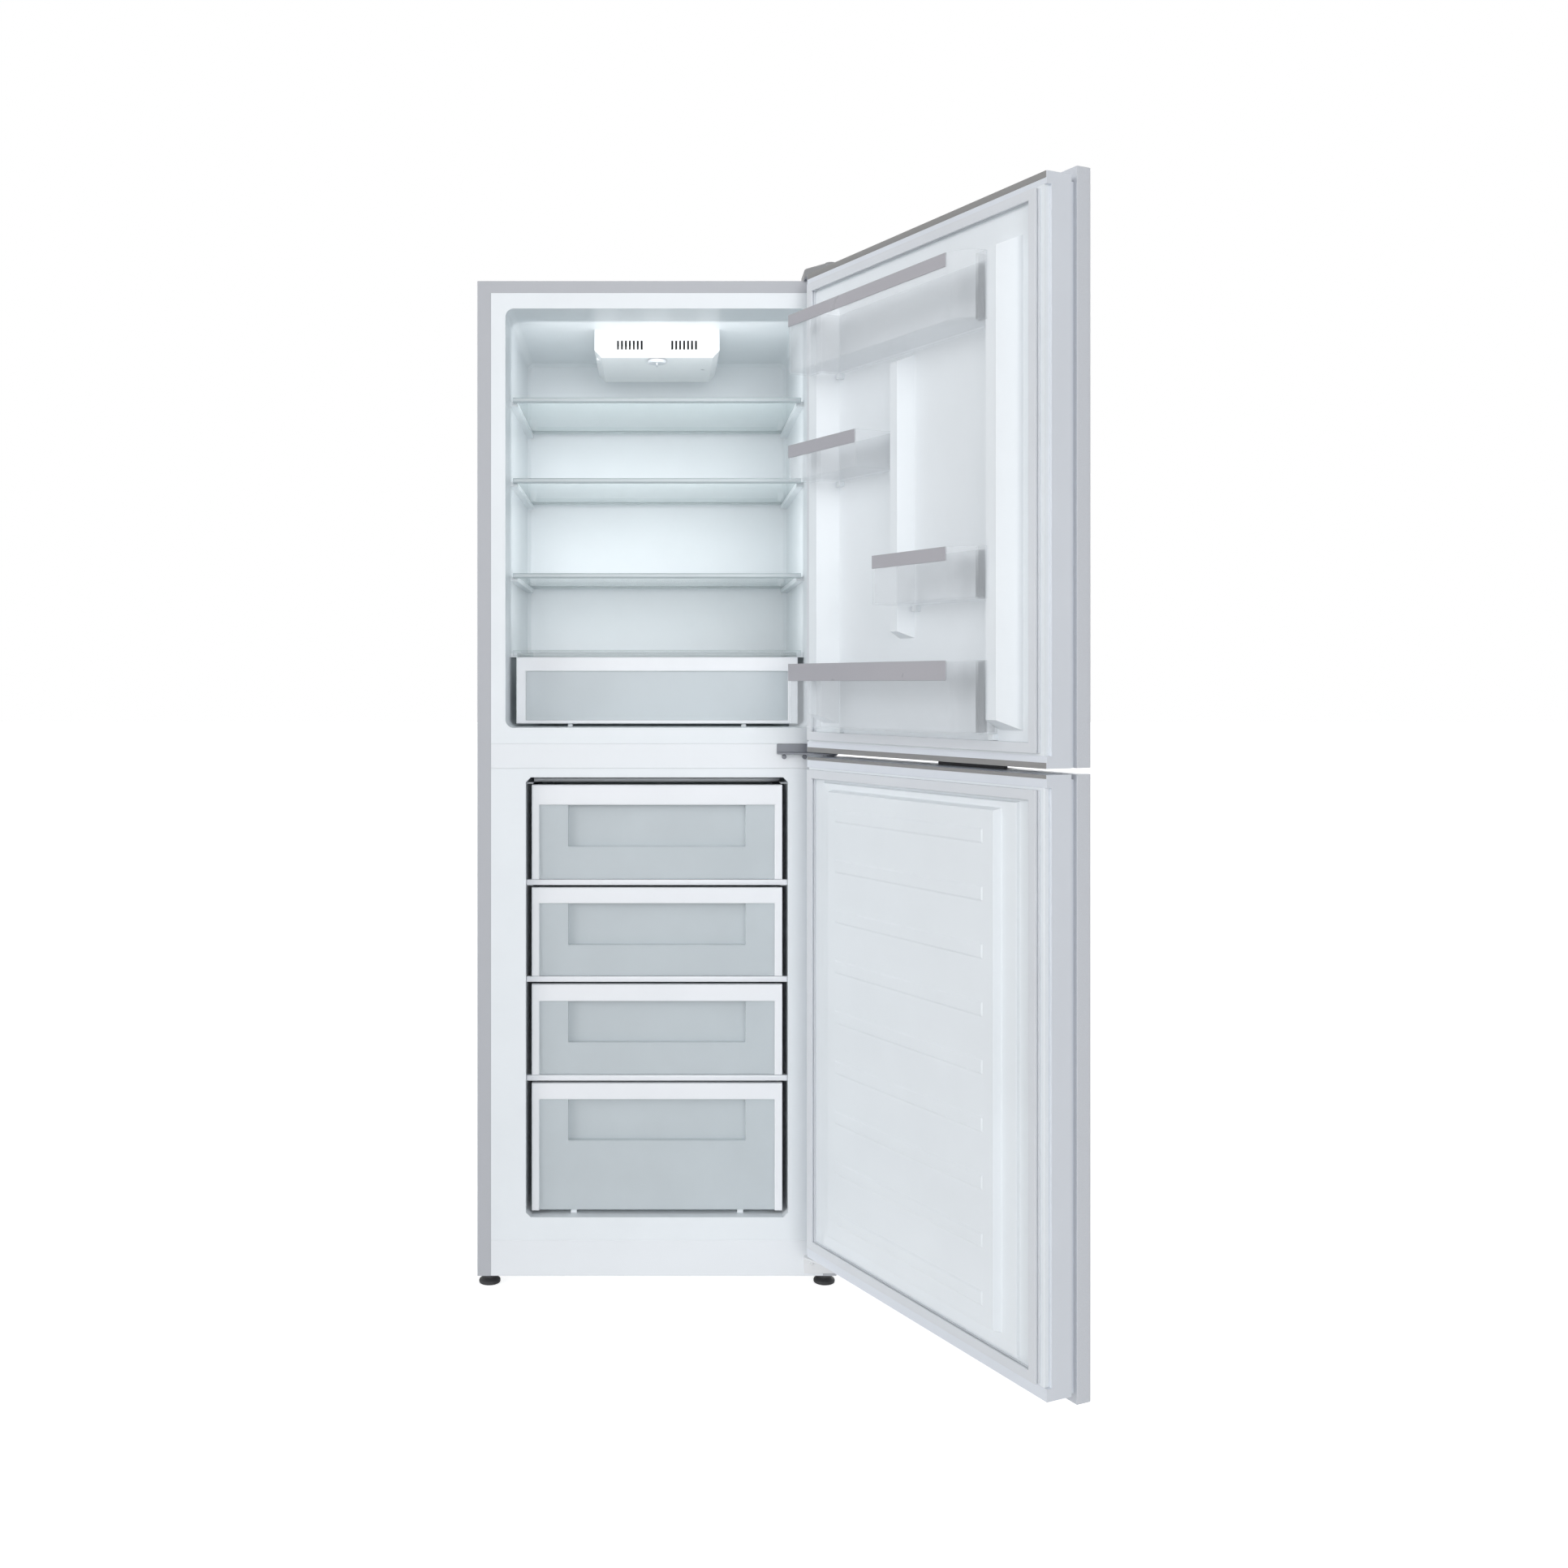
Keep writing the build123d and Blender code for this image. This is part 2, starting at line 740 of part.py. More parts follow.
with BuildPart() as refrigerant_pipes:
    discharge_route = (
        discharge,
        (discharge[0] - 30, discharge[1], discharge[2]),
        (discharge[0] - 30, condenser_y, discharge[2]),
        (-coil_out, condenser_y, discharge[2]),
        (-coil_out, condenser_y, condenser_low),
        (-condenser_half_width, condenser_y, condenser_low),
    )
    add(tube(discharge_route, bend, pipe_diameter))
    return_route = (
        (condenser_half_width, condenser_y, condenser_high),
        (coil_out, condenser_y, condenser_high),
        (coil_out, condenser_y, drier_top + 30),
        (drier_x, condenser_y, drier_top + 30),
        (drier_x, drier_y, drier_top + 30),
        (drier_x, drier_y, drier_top),
    )
    add(tube(return_route, bend, pipe_diameter))
    drier_plane = Plane(origin=(drier_x, drier_y, (drier_top + drier_bottom) / 2))
    drier_half = (drier_top - drier_bottom) / 2
    upper_drier = faceted(drier_plane, ((0, 10), (drier_half - 10, 10), (drier_half, 4)), 12)
    add(upper_drier)
    mirror(upper_drier, about=drier_plane)
    capillary_route = (
        (drier_x, drier_y, drier_bottom),
        (drier_x, drier_y, drier_bottom - 24),
        (drier_x - 40, drier_y, drier_bottom - 24),
        (drier_x - 40, drier_y, bay_top),
    )
    add(tube(capillary_route, bend - 2, pipe_diameter / 2))
    suction_route = (
        suction,
        (suction[0] - 30, suction[1], suction[2]),
        (suction[0] - 30, suction[1], bay_top),
    )
    add(tube(suction_route, bend, pipe_diameter + 2))
finish(refrigerant_pipes, "refrigerant_pipes")

# ---------------------------------------------------------------- lamp housing

housing_half = housing_width / 2
housing_bottom = fridge_ceiling - housing_drop
housing_back = housing_front + housing_depth
dial_y = housing_front + dial_radius + 4
louvre_side = 27.0  # first louvre from the middle
bulb_radius = 11.0
bulb_y = housing_front + 60
bulb_z = fridge_ceiling - housing_drop / 2

with BuildPart() as lamp_housing:
    slab(
        -housing_half, housing_half, housing_front, housing_back, housing_bottom, fridge_ceiling
    )
    chamfer(lamp_housing.edges().filter_by(Axis.Y).group_by(Axis.Z)[0], 12)
    chamfer(lamp_housing.faces().sort_by(Axis.Y)[0].edges().group_by(Axis.Z)[0], 5)
    inner = housing_half - housing_wall
    slab(
        -inner + 10,
        inner - 10,
        housing_front + housing_wall,
        housing_back - housing_wall,
        housing_bottom + housing_wall + 4,
        fridge_ceiling,
        Mode.SUBTRACT,
    )
    louvre_z = fridge_ceiling - housing_drop / 2 - 3
    with BuildSketch(front_plane(housing_front - 1)):
        for side in (-1, 1):
            for index in range(louvre_count):
                x = side * (louvre_side + index * louvre_pitch)
                with Locations((x, louvre_z)):
                    Rectangle(louvre_width, louvre_height)
    extrude(amount=-(housing_wall + 2), mode=Mode.SUBTRACT)
    slab(
        -inner, -housing_half + 40, bulb_y - 14, bulb_y + 14, housing_bottom + 4, fridge_ceiling
    )
    with Locations((0, dial_y, housing_bottom)):
        Cylinder(dial_shaft + pin_gap, 14, mode=Mode.SUBTRACT)
finish(lamp_housing, "lamp_housing")

with BuildPart() as lamp_bulb:
    socket_x = -housing_half + 40
    globe_plane = Plane(origin=(socket_x + 18 + bulb_radius, bulb_y, bulb_z))
    globe_turns = [math.radians(turn) for turn in (0, 25, 50, 75)]
    globe_levels = [
        (bulb_radius * math.sin(turn), bulb_radius * math.cos(turn)) for turn in globe_turns
    ]
    add(faceted(globe_plane, globe_levels, 12))
    mirror(about=globe_plane)
    with BuildSketch(side_plane(socket_x)):
        with Locations((bulb_y, bulb_z)):
            RegularPolygon(7, 12)
    extrude(amount=20)
finish(lamp_bulb, "lamp_bulb")

with BuildPart() as thermostat_dial:
    dial_top = housing_bottom - seat_gap
    with BuildSketch(Plane.XY.offset(dial_top - dial_thickness)):
        with Locations((0, dial_y)):
            RegularPolygon(dial_radius, 12)
    extrude(amount=dial_thickness)
    with Locations((0, dial_y, dial_top)):
        Cylinder(dial_shaft, 8, align=(Align.CENTER, Align.CENTER, Align.MIN))
    slab(-1.5, 1.5, dial_y - 11, dial_y + 11, dial_top - dial_thickness - 4, dial_top - 3)
finish(thermostat_dial, "thermostat_dial")

# ---------------------------------------------------------------- shelves and crisper

for number, height in enumerate(shelf_heights, start=1):
    glass_top = fridge_floor + height
    glass_bottom = glass_top - shelf_glass
    edges = (-shelf_width / 2, shelf_width / 2)
    glass_box = (*edges, shelf_front + 3, shelf_back - 3, glass_bottom, glass_top)
    with BuildPart() as shelf_pane:
        slab(*glass_box)
    finish(shelf_pane, f"shelf_{number}_glass")

    with BuildPart() as shelf_trim:
        trim_top = glass_top + 1
        trim_low = trim_top - shelf_trim_height
        slab(*edges, shelf_front, shelf_front + shelf_trim_depth, trim_low, trim_top)
        chamfer(shelf_trim.faces().sort_by(Axis.Y)[0].edges().filter_by(Axis.X), 2)
        slab(*edges, shelf_back - 9, shelf_back, glass_bottom, glass_top + 8)
        slab(*glass_box, Mode.SUBTRACT)
    finish(shelf_trim, f"shelf_{number}_trim")

with BuildPart() as crisper_cover:
    slab(
        -shelf_width / 2,
        shelf_width / 2,
        shelf_front,
        shelf_back,
        cover_top - shelf_glass,
        cover_top,
    )
    slab(
        -shelf_width / 2,
        shelf_width / 2,
        shelf_front,
        shelf_front + shelf_glass,
        cover_top - 10,
        cover_top - shelf_glass,
    )
    chamfer(crisper_cover.faces().sort_by(Axis.Y)[0].edges().filter_by(Axis.X), 1)
finish(crisper_cover, "crisper_cover")


def tub(floor_half, rim_half, front, back, bottom, top):
    """An open-topped bin between a front and a back, a little wider at its rim."""
    with BuildPart() as bin_body:
        for inset, mode in ((0, Mode.ADD), (bin_wall, Mode.SUBTRACT)):
            with BuildSketch(front_plane(front + inset)) as profile:
                with BuildLine():
                    Polyline(
                        (-floor_half + inset, bottom + inset),
                        (floor_half - inset, bottom + inset),
                        (rim_half - inset, top),
                        (-rim_half + inset, top),
                        close=True,
                    )
                make_face()
                chamfer(profile.vertices().group_by(Axis.Y)[0], 8 - inset / 2)
            extrude(amount=-(back - front - 2 * inset), mode=mode)
    return bin_body.part


crisper_half = fridge_half - crisper_side_gap
crisper_bottom = fridge_floor + crisper_foot
crisper_back = crisper_front + crisper_depth
crisper_plate = crisper_front + 5

with BuildPart() as crisper_bin:
    tub_half = crisper_half - crisper_tub_inset
    add(
        tub(
            tub_half - 6, tub_half, crisper_plate, crisper_back, crisper_bottom, crisper_top
        )
    )
    slab(
        -crisper_half,
        crisper_half,
        crisper_plate,
        crisper_plate + bin_wall,
        crisper_bottom,
        crisper_top,
    )
finish(crisper_bin, "crisper_bin")

with BuildPart() as crisper_handle:
    slab(
        -crisper_half,
        crisper_half,
        crisper_front,
        crisper_plate,
        crisper_bottom,
        crisper_top,
    )
    slab(
        -crisper_half + crisper_stile,
        crisper_half - crisper_stile,
        crisper_front - 1,
        crisper_plate + 1,
        crisper_bottom + crisper_rail,
        crisper_top - crisper_band,
        Mode.SUBTRACT,
    )
    chamfer(crisper_handle.faces().sort_by(Axis.Y)[0].edges(), 1.2)
finish(crisper_handle, "crisper_handle")

# ---------------------------------------------------------------- freezer drawers

drawer_half = freezer_half - drawer_side_gap
drawer_plate = drawer_front + band_thickness
recess_half = 149.0
recess_height = 70.0
recess_depth = 12.0

for index, drawer_bottom in enumerate(drawer_bottoms):
    number = len(drawer_bottoms) - index
    drawer_top = drawer_bottom + drawer_heights[index]
    rim = drawer_top - bin_wall
    band_low = drawer_top - drawer_bands[index]
    tub_back = (step_depth if index == 0 else freezer_depth) - drawer_back_gap
    tub_half = drawer_half - bin_inset
    with BuildPart() as drawer_bin:
        add(tub(tub_half - 8, tub_half, drawer_plate, tub_back, drawer_bottom, rim))
        slab(-drawer_half, drawer_half, drawer_plate, drawer_plate + bin_wall, drawer_bottom, rim)
        recess = (band_low - recess_height, rim)
        recess_back = drawer_plate + recess_depth
        slab(
            -recess_half - bin_wall,
            recess_half + bin_wall,
            drawer_plate,
            recess_back + bin_wall,
            recess[0] - bin_wall,
            recess[1],
        )
        slab(-recess_half, recess_half, drawer_plate, recess_back, *recess, Mode.SUBTRACT)
    finish(drawer_bin, f"freezer_drawer_{number}_bin")

    with BuildPart() as drawer_handle:
        slab(-drawer_half, drawer_half, drawer_front, drawer_plate, drawer_bottom, drawer_top)
        window_half = drawer_half - drawer_stile
        window = (-window_half, window_half, drawer_front - 1, drawer_plate + 1)
        slab(*window, drawer_bottom - 1, band_low, Mode.SUBTRACT)
        chamfer(drawer_handle.faces().sort_by(Axis.Y)[0].edges(), 1.5)
        slab(-drawer_half, drawer_half, drawer_plate, drawer_plate + 8, rim, drawer_top)
    finish(drawer_handle, f"freezer_drawer_{number}_handle")

# ---------------------------------------------------------------- hinges

top_plate_z = cabinet_top
plate_outline = (
    (-12, 0),
    (-40, 34),
    (-40, 90),
    (11, 90),
    (11, 48),
    (3, 44),
    (3, 0),
)

with BuildPart() as top_hinge:
    with BuildSketch(Plane.XY.offset(top_plate_z)):
        with Locations((pin_x, pin_y)):
            RegularPolygon(hinge_reach, 16)
            with BuildLine():
                Polyline(*[(pin_x + x, pin_y + y) for x, y in plate_outline], close=True)
            make_face()
    extrude(amount=hinge_plate)
    with Locations((pin_x, pin_y, upper_top - pin_depth + 1)):
        Cylinder(
            pin_radius,
            top_plate_z + 1 - (upper_top - pin_depth + 1),
            align=(Align.CENTER, Align.CENTER, Align.MIN),
        )
finish(top_hinge, "top_hinge")

with BuildPart() as top_hinge_cover:
    cover_low = top_plate_z + hinge_plate
    cover_rise = hinge_cover_height - hinge_plate
    with BuildSketch(Plane.XY.offset(cover_low)):
        with Locations((pin_x, pin_y)):
            RegularPolygon(hinge_reach, 16)
        with BuildLine():
            Polyline(*[(pin_x + x, pin_y + y) for x, y in plate_outline], close=True)
        make_face()
    extrude(amount=cover_rise)
    chamfer(top_hinge_cover.faces().sort_by(Axis.Z)[-1].edges(), 3)
    with BuildSketch(Plane.XY.offset(cover_low)):
        with Locations((pin_x, pin_y)):
            RegularPolygon(hinge_reach - 3, 8)
        with BuildLine():
            inner_outline = ((-9, 2), (-37, 36), (-37, 87), (8, 87), (8, 50), (0, 46), (0, 2))
            Polyline(*[(pin_x + x, pin_y + y) for x, y in inner_outline], close=True)
        make_face()
    extrude(amount=cover_rise - 3, mode=Mode.SUBTRACT)
finish(top_hinge_cover, "top_hinge_cover")

with BuildPart() as middle_hinge:
    plate_low = doors_middle - hinge_plate / 2
    with BuildSketch(Plane.XY.offset(plate_low)):
        with Locations((pin_x, pin_y)):
            Circle(hinge_reach)
        with BuildLine():
            Polyline(
                (pin_x - 10, pin_y - 6),
                (pin_x - 85, -hinge_leg - 8),
                (pin_x - 85, 0),
                (pin_x + 8, 0),
                (pin_x + 12, pin_y),
                close=True,
            )
        make_face()
    extrude(amount=hinge_plate)
    slab(pin_x - 85, pin_x - 15, -hinge_leg, 0, plate_low, plate_low + 17)
    with Locations((pin_x, pin_y, lower_top - pin_depth + 1)):
        Cylinder(
            pin_radius,
            upper_bottom + pin_depth - 1 - (lower_top - pin_depth + 1),
            align=(Align.CENTER, Align.CENTER, Align.MIN),
        )
    collar_half = door_gap / 2 - seat_gap
    with BuildSketch(Plane.XY.offset(doors_middle - collar_half)):
        with Locations((pin_x, pin_y)):
            RegularPolygon(pin_radius + 3, 12)
    extrude(amount=2 * collar_half)
finish(middle_hinge, "middle_hinge")

with BuildPart() as bottom_hinge:
    plate_top = door_bottom - door_panel_overlap - 1
    slab(pin_x - 40, pin_x + 12, -2.5, 0, ground_clearance + 5, plate_top)
    with BuildSketch(Plane.XY.offset(plate_top - hinge_plate)):
        with Locations((pin_x, pin_y)):
            Circle(hinge_reach)
        with BuildLine():
            Polyline(
                (pin_x - 12, pin_y),
                (pin_x - 40, -12),
                (pin_x - 40, 0),
                (pin_x + 12, 0),
                (pin_x + 12, pin_y),
                close=True,
            )
        make_face()
    extrude(amount=hinge_plate)
    with Locations((pin_x, pin_y, plate_top - 1)):
        Cylinder(
            pin_radius,
            door_bottom + pin_depth - plate_top,
            align=(Align.CENTER, Align.CENTER, Align.MIN),
        )
    with BuildSketch(Plane.XY.offset(plate_top)):
        with Locations((pin_x, pin_y)):
            RegularPolygon(pin_radius + 3, 12)
    extrude(amount=door_bottom - seat_gap - plate_top)
finish(bottom_hinge, "bottom_hinge")

# ---------------------------------------------------------------- doors

door_middle = (door_hinge_edge + door_free_edge) / 2
member_start = door_hinge_edge + door_side_member
member_end = door_free_edge - door_side_member
grip_end = grip_start + grip_width
grip_box = (grip_start, grip_end, panel_seat, panel_edge - 2.5, lower_top - grip_height, lower_top)
gasket_start = door_hinge_edge + gasket_inset
gasket_end = door_free_edge - gasket_inset

dyke_outer = fridge_half - 1
dyke_start = pin_x - dyke_outer
dyke_end = pin_x + dyke_outer
dyke_low = fridge_floor + 11
dyke_high = fridge_ceiling - 27
rear_start = dyke_start + dyke_base + dyke_clear
rear_end = dyke_end - dyke_base - dyke_clear
rib_low = fridge_floor + balcony_table[3][2] + balcony_table[3][3] + balcony_lift + 6
rib_high = fridge_floor + balcony_table[0][2] - 5
dyke_rows = (
    (dyke_start, dyke_start + dyke_base, dyke_low, dyke_high, dyke_height),
    (dyke_end - dyke_base, dyke_end, dyke_low, dyke_high, dyke_height),
    (rib_middle - rib_base / 2, rib_middle + rib_base / 2, rib_low, rib_high, rib_height),
)

plug_start = pin_x - (freezer_half - plug_clear)
plug_end = pin_x + (freezer_half - plug_clear)
plug_low = freezer_floor + 2 * plug_clear
plug_high = freezer_top - 2 * plug_clear
step_margin = plug_step_width
gasket_low = lower_bottom + door_lip + gasket_from_lip + gasket_width
gasket_high = lower_top - door_lip - gasket_from_lip - gasket_width


def level_plane(z):
    """A level plane with the open door's own axes."""
    return Plane(
        origin=door_plane.from_local_coords(Vector(0, 0, z)),
        x_dir=door_plane.x_dir,
        z_dir=(0, 0, 1),
    )


def panel_block(low, high, inset):
    """The outside of a door's steel front, or its inside when inset by the sheet."""
    with BuildPart() as block:
        with BuildSketch(level_plane(low)) as profile:
            with BuildLine():
                Polyline(
                    (door_hinge_edge + inset, panel_edge - inset),
                    (door_hinge_edge + inset, panel_seat + inset),
                    (door_free_edge - inset, panel_seat + inset),
                    (door_free_edge - inset, panel_edge - inset),
                )
                ThreePointArc(
                    (door_free_edge - inset, panel_edge - inset),
                    (door_middle, panel_edge + door_bow - inset),
                    (door_hinge_edge + inset, panel_edge - inset),
                )
            make_face()
            front_corners = profile.vertices().sort_by(Axis.Y)[-2:]
            fillet(front_corners, 6 - inset)
        extrude(amount=high - low)
    return block.part


def liner_base(low, high, inset):
    """The flat part of a door liner, or its inside when inset by the liner's wall."""
    with BuildPart() as block:
        door_slab(
            door_hinge_edge + 5 + inset,
            door_free_edge - 5 - inset,
            liner_face + inset,
            liner_seat,
            low + door_lip + inset,
            high - door_lip - inset,
        )
    return block.part


def raised(start, end, low, high, base, rise, taper, inset):
    """A tapered rise on a door liner, or its inside when inset by the liner's wall."""
    angle = math.radians(taper)
    side = inset * (1 - math.sin(angle)) / math.cos(angle)
    with BuildPart() as block:
        with BuildSketch():
            with Locations(((start + end) / 2, (low + high) / 2)):
                Rectangle(end - start - 2 * side, high - low - 2 * side)
        extrude(amount=rise, taper=taper)
    return block.part.moved(inner_plane(base + inset).location)


def upper_form(inset):
    """The upper door liner's outside, or its inside when inset by its wall."""
    form = liner_base(upper_bottom, upper_top, inset)
    for start, end, low, high, rise in dyke_rows:
        form = form + raised(start, end, low, high, liner_face, rise, dyke_taper, inset)
    return form


def lower_form(inset):
    """The lower door liner's outside, or its inside when inset by its wall."""
    form = liner_base(lower_bottom, lower_top, inset)
    form = form + raised(
        plug_start - step_margin,
        plug_end + step_margin,
        gasket_low + 4,
        gasket_high - 4,
        liner_face,
        plug_step,
        plug_taper,
        inset,
    )
    plug_base = liner_face - plug_step
    form = form + raised(
        plug_start, plug_end, plug_low, plug_high, plug_base, plug_rise, plug_taper, inset
    )
    top = plug_base - plug_rise
    pitch = (plug_high - plug_low) / emboss_count
    for index in range(emboss_count):
        middle = plug_low + (index + 0.5) * pitch
        form = form + raised(
            plug_start + 26,
            plug_end - 26,
            middle - emboss_height / 2,
            middle + emboss_height / 2,
            top,
            emboss_rise,
            45,
            inset,
        )
    return form


door_rows = (
    ("upper_door", upper_bottom, upper_top, upper_bottom, upper_top + door_panel_overlap),
    ("lower_door", lower_bottom, lower_top, lower_bottom - door_panel_overlap, lower_top),
)

for door, low, high, panel_low, panel_high in door_rows:
    lower = door == "lower_door"
    form = lower_form if lower else upper_form
    hollow = (member_start, member_end, low + door_lip, high - door_lip)

    with BuildPart() as door_panel:
        add(panel_block(panel_low, panel_high, 0))
        add(panel_block(panel_low + sheet, panel_high - sheet, sheet), mode=Mode.SUBTRACT)
        door_slab(
            *hollow[:2], panel_seat - 1, panel_seat + 2 * sheet, *hollow[2:], Mode.SUBTRACT
        )
        if lower:
            door_slab(*grip_box, Mode.SUBTRACT)
    finish(door_panel, f"{door}_panel")

    with BuildPart() as door_frame:
        door_slab(door_hinge_edge, door_free_edge, liner_seat, panel_seat, low, high)
        door_slab(*hollow[:2], liner_seat - 1, panel_seat + 1, *hollow[2:], Mode.SUBTRACT)
        for lip_low in (low, high - door_lip):
            door_slab(
                door_hinge_edge,
                door_free_edge,
                liner_face,
                liner_seat,
                lip_low,
                lip_low + door_lip,
            )
        groove = (groove_back, panel_seat)
        inner_edge = door_hinge_edge + door_groove_depth
        door_slab(door_hinge_edge, inner_edge, *groove, low, high, Mode.SUBTRACT)
        inner_edge = door_free_edge - door_groove_depth
        door_slab(inner_edge, door_free_edge, *groove, low, high, Mode.SUBTRACT)
        door_slab(
            door_hinge_edge,
            door_free_edge,
            *groove,
            high - door_groove_depth,
            high,
            Mode.SUBTRACT,
        )
        for middle in (low + pin_depth / 2, high - pin_depth / 2):
            with Locations(upright(0, 0, middle)):
                Cylinder(pin_radius + pin_gap, pin_depth, mode=Mode.SUBTRACT)
    finish(door_frame, f"{door}_frame")

    with BuildPart() as door_liner:
        add(form(0))
        add(form(liner_wall), mode=Mode.SUBTRACT)
        if not lower:
            for start, end, above_floor, height, band in balcony_table:
                lug_top = fridge_floor + above_floor - seat_gap
                lug_starts = (max(start, rear_start) + 2, min(end, rear_end) - 12)
                for lug_start in lug_starts:
                    door_slab(
                        lug_start,
                        lug_start + 10,
                        liner_face - lug_reach,
                        liner_face,
                        lug_top - lug_height,
                        lug_top,
                    )
    finish(door_liner, f"{door}_liner")

    with BuildPart() as door_insulation:
        add(panel_block(panel_low + sheet, panel_high - sheet, sheet))
        door_slab(*hollow[:2], liner_seat, panel_seat + 2 * sheet, *hollow[2:])
        add(form(liner_wall))
        if lower:
            door_slab(*grip_box, Mode.SUBTRACT)
    finish(door_insulation, f"{door}_insulation")

    with BuildPart() as door_gasket:
        ring_low = low + door_lip + gasket_from_lip
        ring_high = high - door_lip - gasket_from_lip
        ring_middle = ((gasket_start + gasket_end) / 2, (ring_low + ring_high) / 2)
        ring_width = gasket_end - gasket_start
        ring_height = ring_high - ring_low
        for start, rise, narrow in ((0, 3, 0), (3, 2.5, 3), (5.5, gasket_height - 5.5, 0)):
            hole = 2 * (gasket_width - narrow)
            with BuildSketch(inner_plane(liner_face - start)):
                with Locations(ring_middle):
                    Rectangle(ring_width - 2 * narrow, ring_height - 2 * narrow)
                    Rectangle(ring_width - hole, ring_height - hole, mode=Mode.SUBTRACT)
            extrude(amount=rise)
    finish(door_gasket, f"{door}_gasket")

with BuildPart() as lower_door_grip:
    door_slab(*grip_box)
    door_slab(
        grip_start,
        grip_end,
        panel_seat - 4.5,
        panel_seat,
        lower_top - door_groove_depth,
        lower_top + grip_lip,
    )
    scoop = (grip_start + 2, grip_end - 2, panel_seat + 2, grip_box[3] - 2)
    door_slab(*scoop, lower_top - grip_height + 2, lower_top, Mode.SUBTRACT)
    door_slab(
        grip_start, grip_end, panel_seat, panel_seat + 2, lower_top, lower_top + grip_lip
    )
finish(lower_door_grip, "lower_door_grip")

# ---------------------------------------------------------------- door balconies

for number, (start, end, above_floor, height, band) in enumerate(balcony_table, start=1):
    bottom = fridge_floor + above_floor
    top = bottom + height
    reach = -(balcony_reach - balcony_band_thickness)
    rear = liner_face - 2
    shoulder = liner_face - dyke_height - seat_gap
    free_side = end > rib_middle
    with BuildPart() as balcony_bin:
        for inset, mode in ((0, Mode.ADD), (balcony_wall, Mode.SUBTRACT)):
            floor_z = bottom + inset
            with BuildSketch(level_plane(floor_z)) as outline:
                with BuildLine():
                    Polyline(
                        (start + inset, shoulder - inset),
                        (start + inset, reach + inset),
                        (end - inset, reach + inset),
                        (end - inset, shoulder - inset),
                        close=True,
                    )
                make_face()
                if free_side:
                    corner = outline.vertices().sort_by(Axis.Y)[:2].sort_by(Axis.X)[-1]
                    fillet(corner, balcony_corner - inset)
                neck = (max(start, rear_start) + inset, min(end, rear_end) - inset)
                with Locations(((neck[0] + neck[1]) / 2, (shoulder + rear) / 2 - inset)):
                    Rectangle(neck[1] - neck[0], rear - shoulder)
            extrude(amount=top - floor_z, mode=mode)
    finish(balcony_bin, f"balcony_{number}_bin")

    with BuildPart() as balcony_band:
        band_end = end - balcony_corner if free_side else end - 2
        door_slab(start, band_end, -balcony_reach, reach, top - band, top)
    finish(balcony_band, f"balcony_{number}_band")
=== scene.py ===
import json
import math

import bmesh
import bpy
from mathutils import Matrix, Vector

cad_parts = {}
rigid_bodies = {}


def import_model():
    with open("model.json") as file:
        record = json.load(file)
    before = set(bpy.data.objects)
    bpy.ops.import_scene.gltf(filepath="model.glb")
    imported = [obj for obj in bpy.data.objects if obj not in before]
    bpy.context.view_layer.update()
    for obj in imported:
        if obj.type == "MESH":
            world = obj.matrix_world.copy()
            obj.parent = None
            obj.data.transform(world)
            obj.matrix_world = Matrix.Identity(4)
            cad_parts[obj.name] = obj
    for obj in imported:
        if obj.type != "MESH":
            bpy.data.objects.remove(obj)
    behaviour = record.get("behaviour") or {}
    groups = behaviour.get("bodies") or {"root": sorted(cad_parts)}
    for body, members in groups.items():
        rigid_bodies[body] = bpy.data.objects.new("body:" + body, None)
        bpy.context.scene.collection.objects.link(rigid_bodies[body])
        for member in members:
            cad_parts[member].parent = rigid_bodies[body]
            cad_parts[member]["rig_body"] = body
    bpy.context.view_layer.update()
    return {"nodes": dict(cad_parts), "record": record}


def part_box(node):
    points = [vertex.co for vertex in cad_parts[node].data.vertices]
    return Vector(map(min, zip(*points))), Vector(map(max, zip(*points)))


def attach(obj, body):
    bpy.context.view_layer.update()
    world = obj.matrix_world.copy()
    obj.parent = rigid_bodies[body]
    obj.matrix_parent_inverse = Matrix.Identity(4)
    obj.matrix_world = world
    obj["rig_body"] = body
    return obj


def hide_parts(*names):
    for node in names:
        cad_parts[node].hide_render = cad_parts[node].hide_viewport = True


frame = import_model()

scene = bpy.context.scene

mm = 0.001
cabinet_low, cabinet_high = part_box("cabinet_shell")
middle_x = (cabinet_low.x + cabinet_high.x) / 2
slot_of = {row["node"]: row["material_slot"] for row in frame["record"]["subparts"]}


def spot(x, y, z):
    """A point in metres from millimetres about the middle plane and the cabinet's front face."""
    return Vector((middle_x + x * mm, cabinet_low.y + y * mm, z * mm))


# ---------------------------------------------------------------- finishes


def new_finish(name, color, rough, metal=0.0, **sockets):
    """A material with its plain values set on the shader itself."""
    finish = bpy.data.materials.new(name)
    finish.use_nodes = True
    shader = finish.node_tree.nodes["Principled BSDF"]
    shader.inputs["Base Color"].default_value = (*color, 1)
    shader.inputs["Roughness"].default_value = rough
    shader.inputs["Metallic"].default_value = metal
    for key, value in sockets.items():
        shader.inputs[key.replace("_", " ")].default_value = value
    return finish, shader


def object_noise(finish, scale, detail=3.0):
    """Noise that stays on the piece."""
    nodes = finish.node_tree.nodes
    coord = nodes.new("ShaderNodeTexCoord")
    noise = nodes.new("ShaderNodeTexNoise")
    noise.inputs["Scale"].default_value = scale
    noise.inputs["Detail"].default_value = detail
    finish.node_tree.links.new(coord.outputs["Object"], noise.inputs["Vector"])
    return noise.outputs["Fac"]


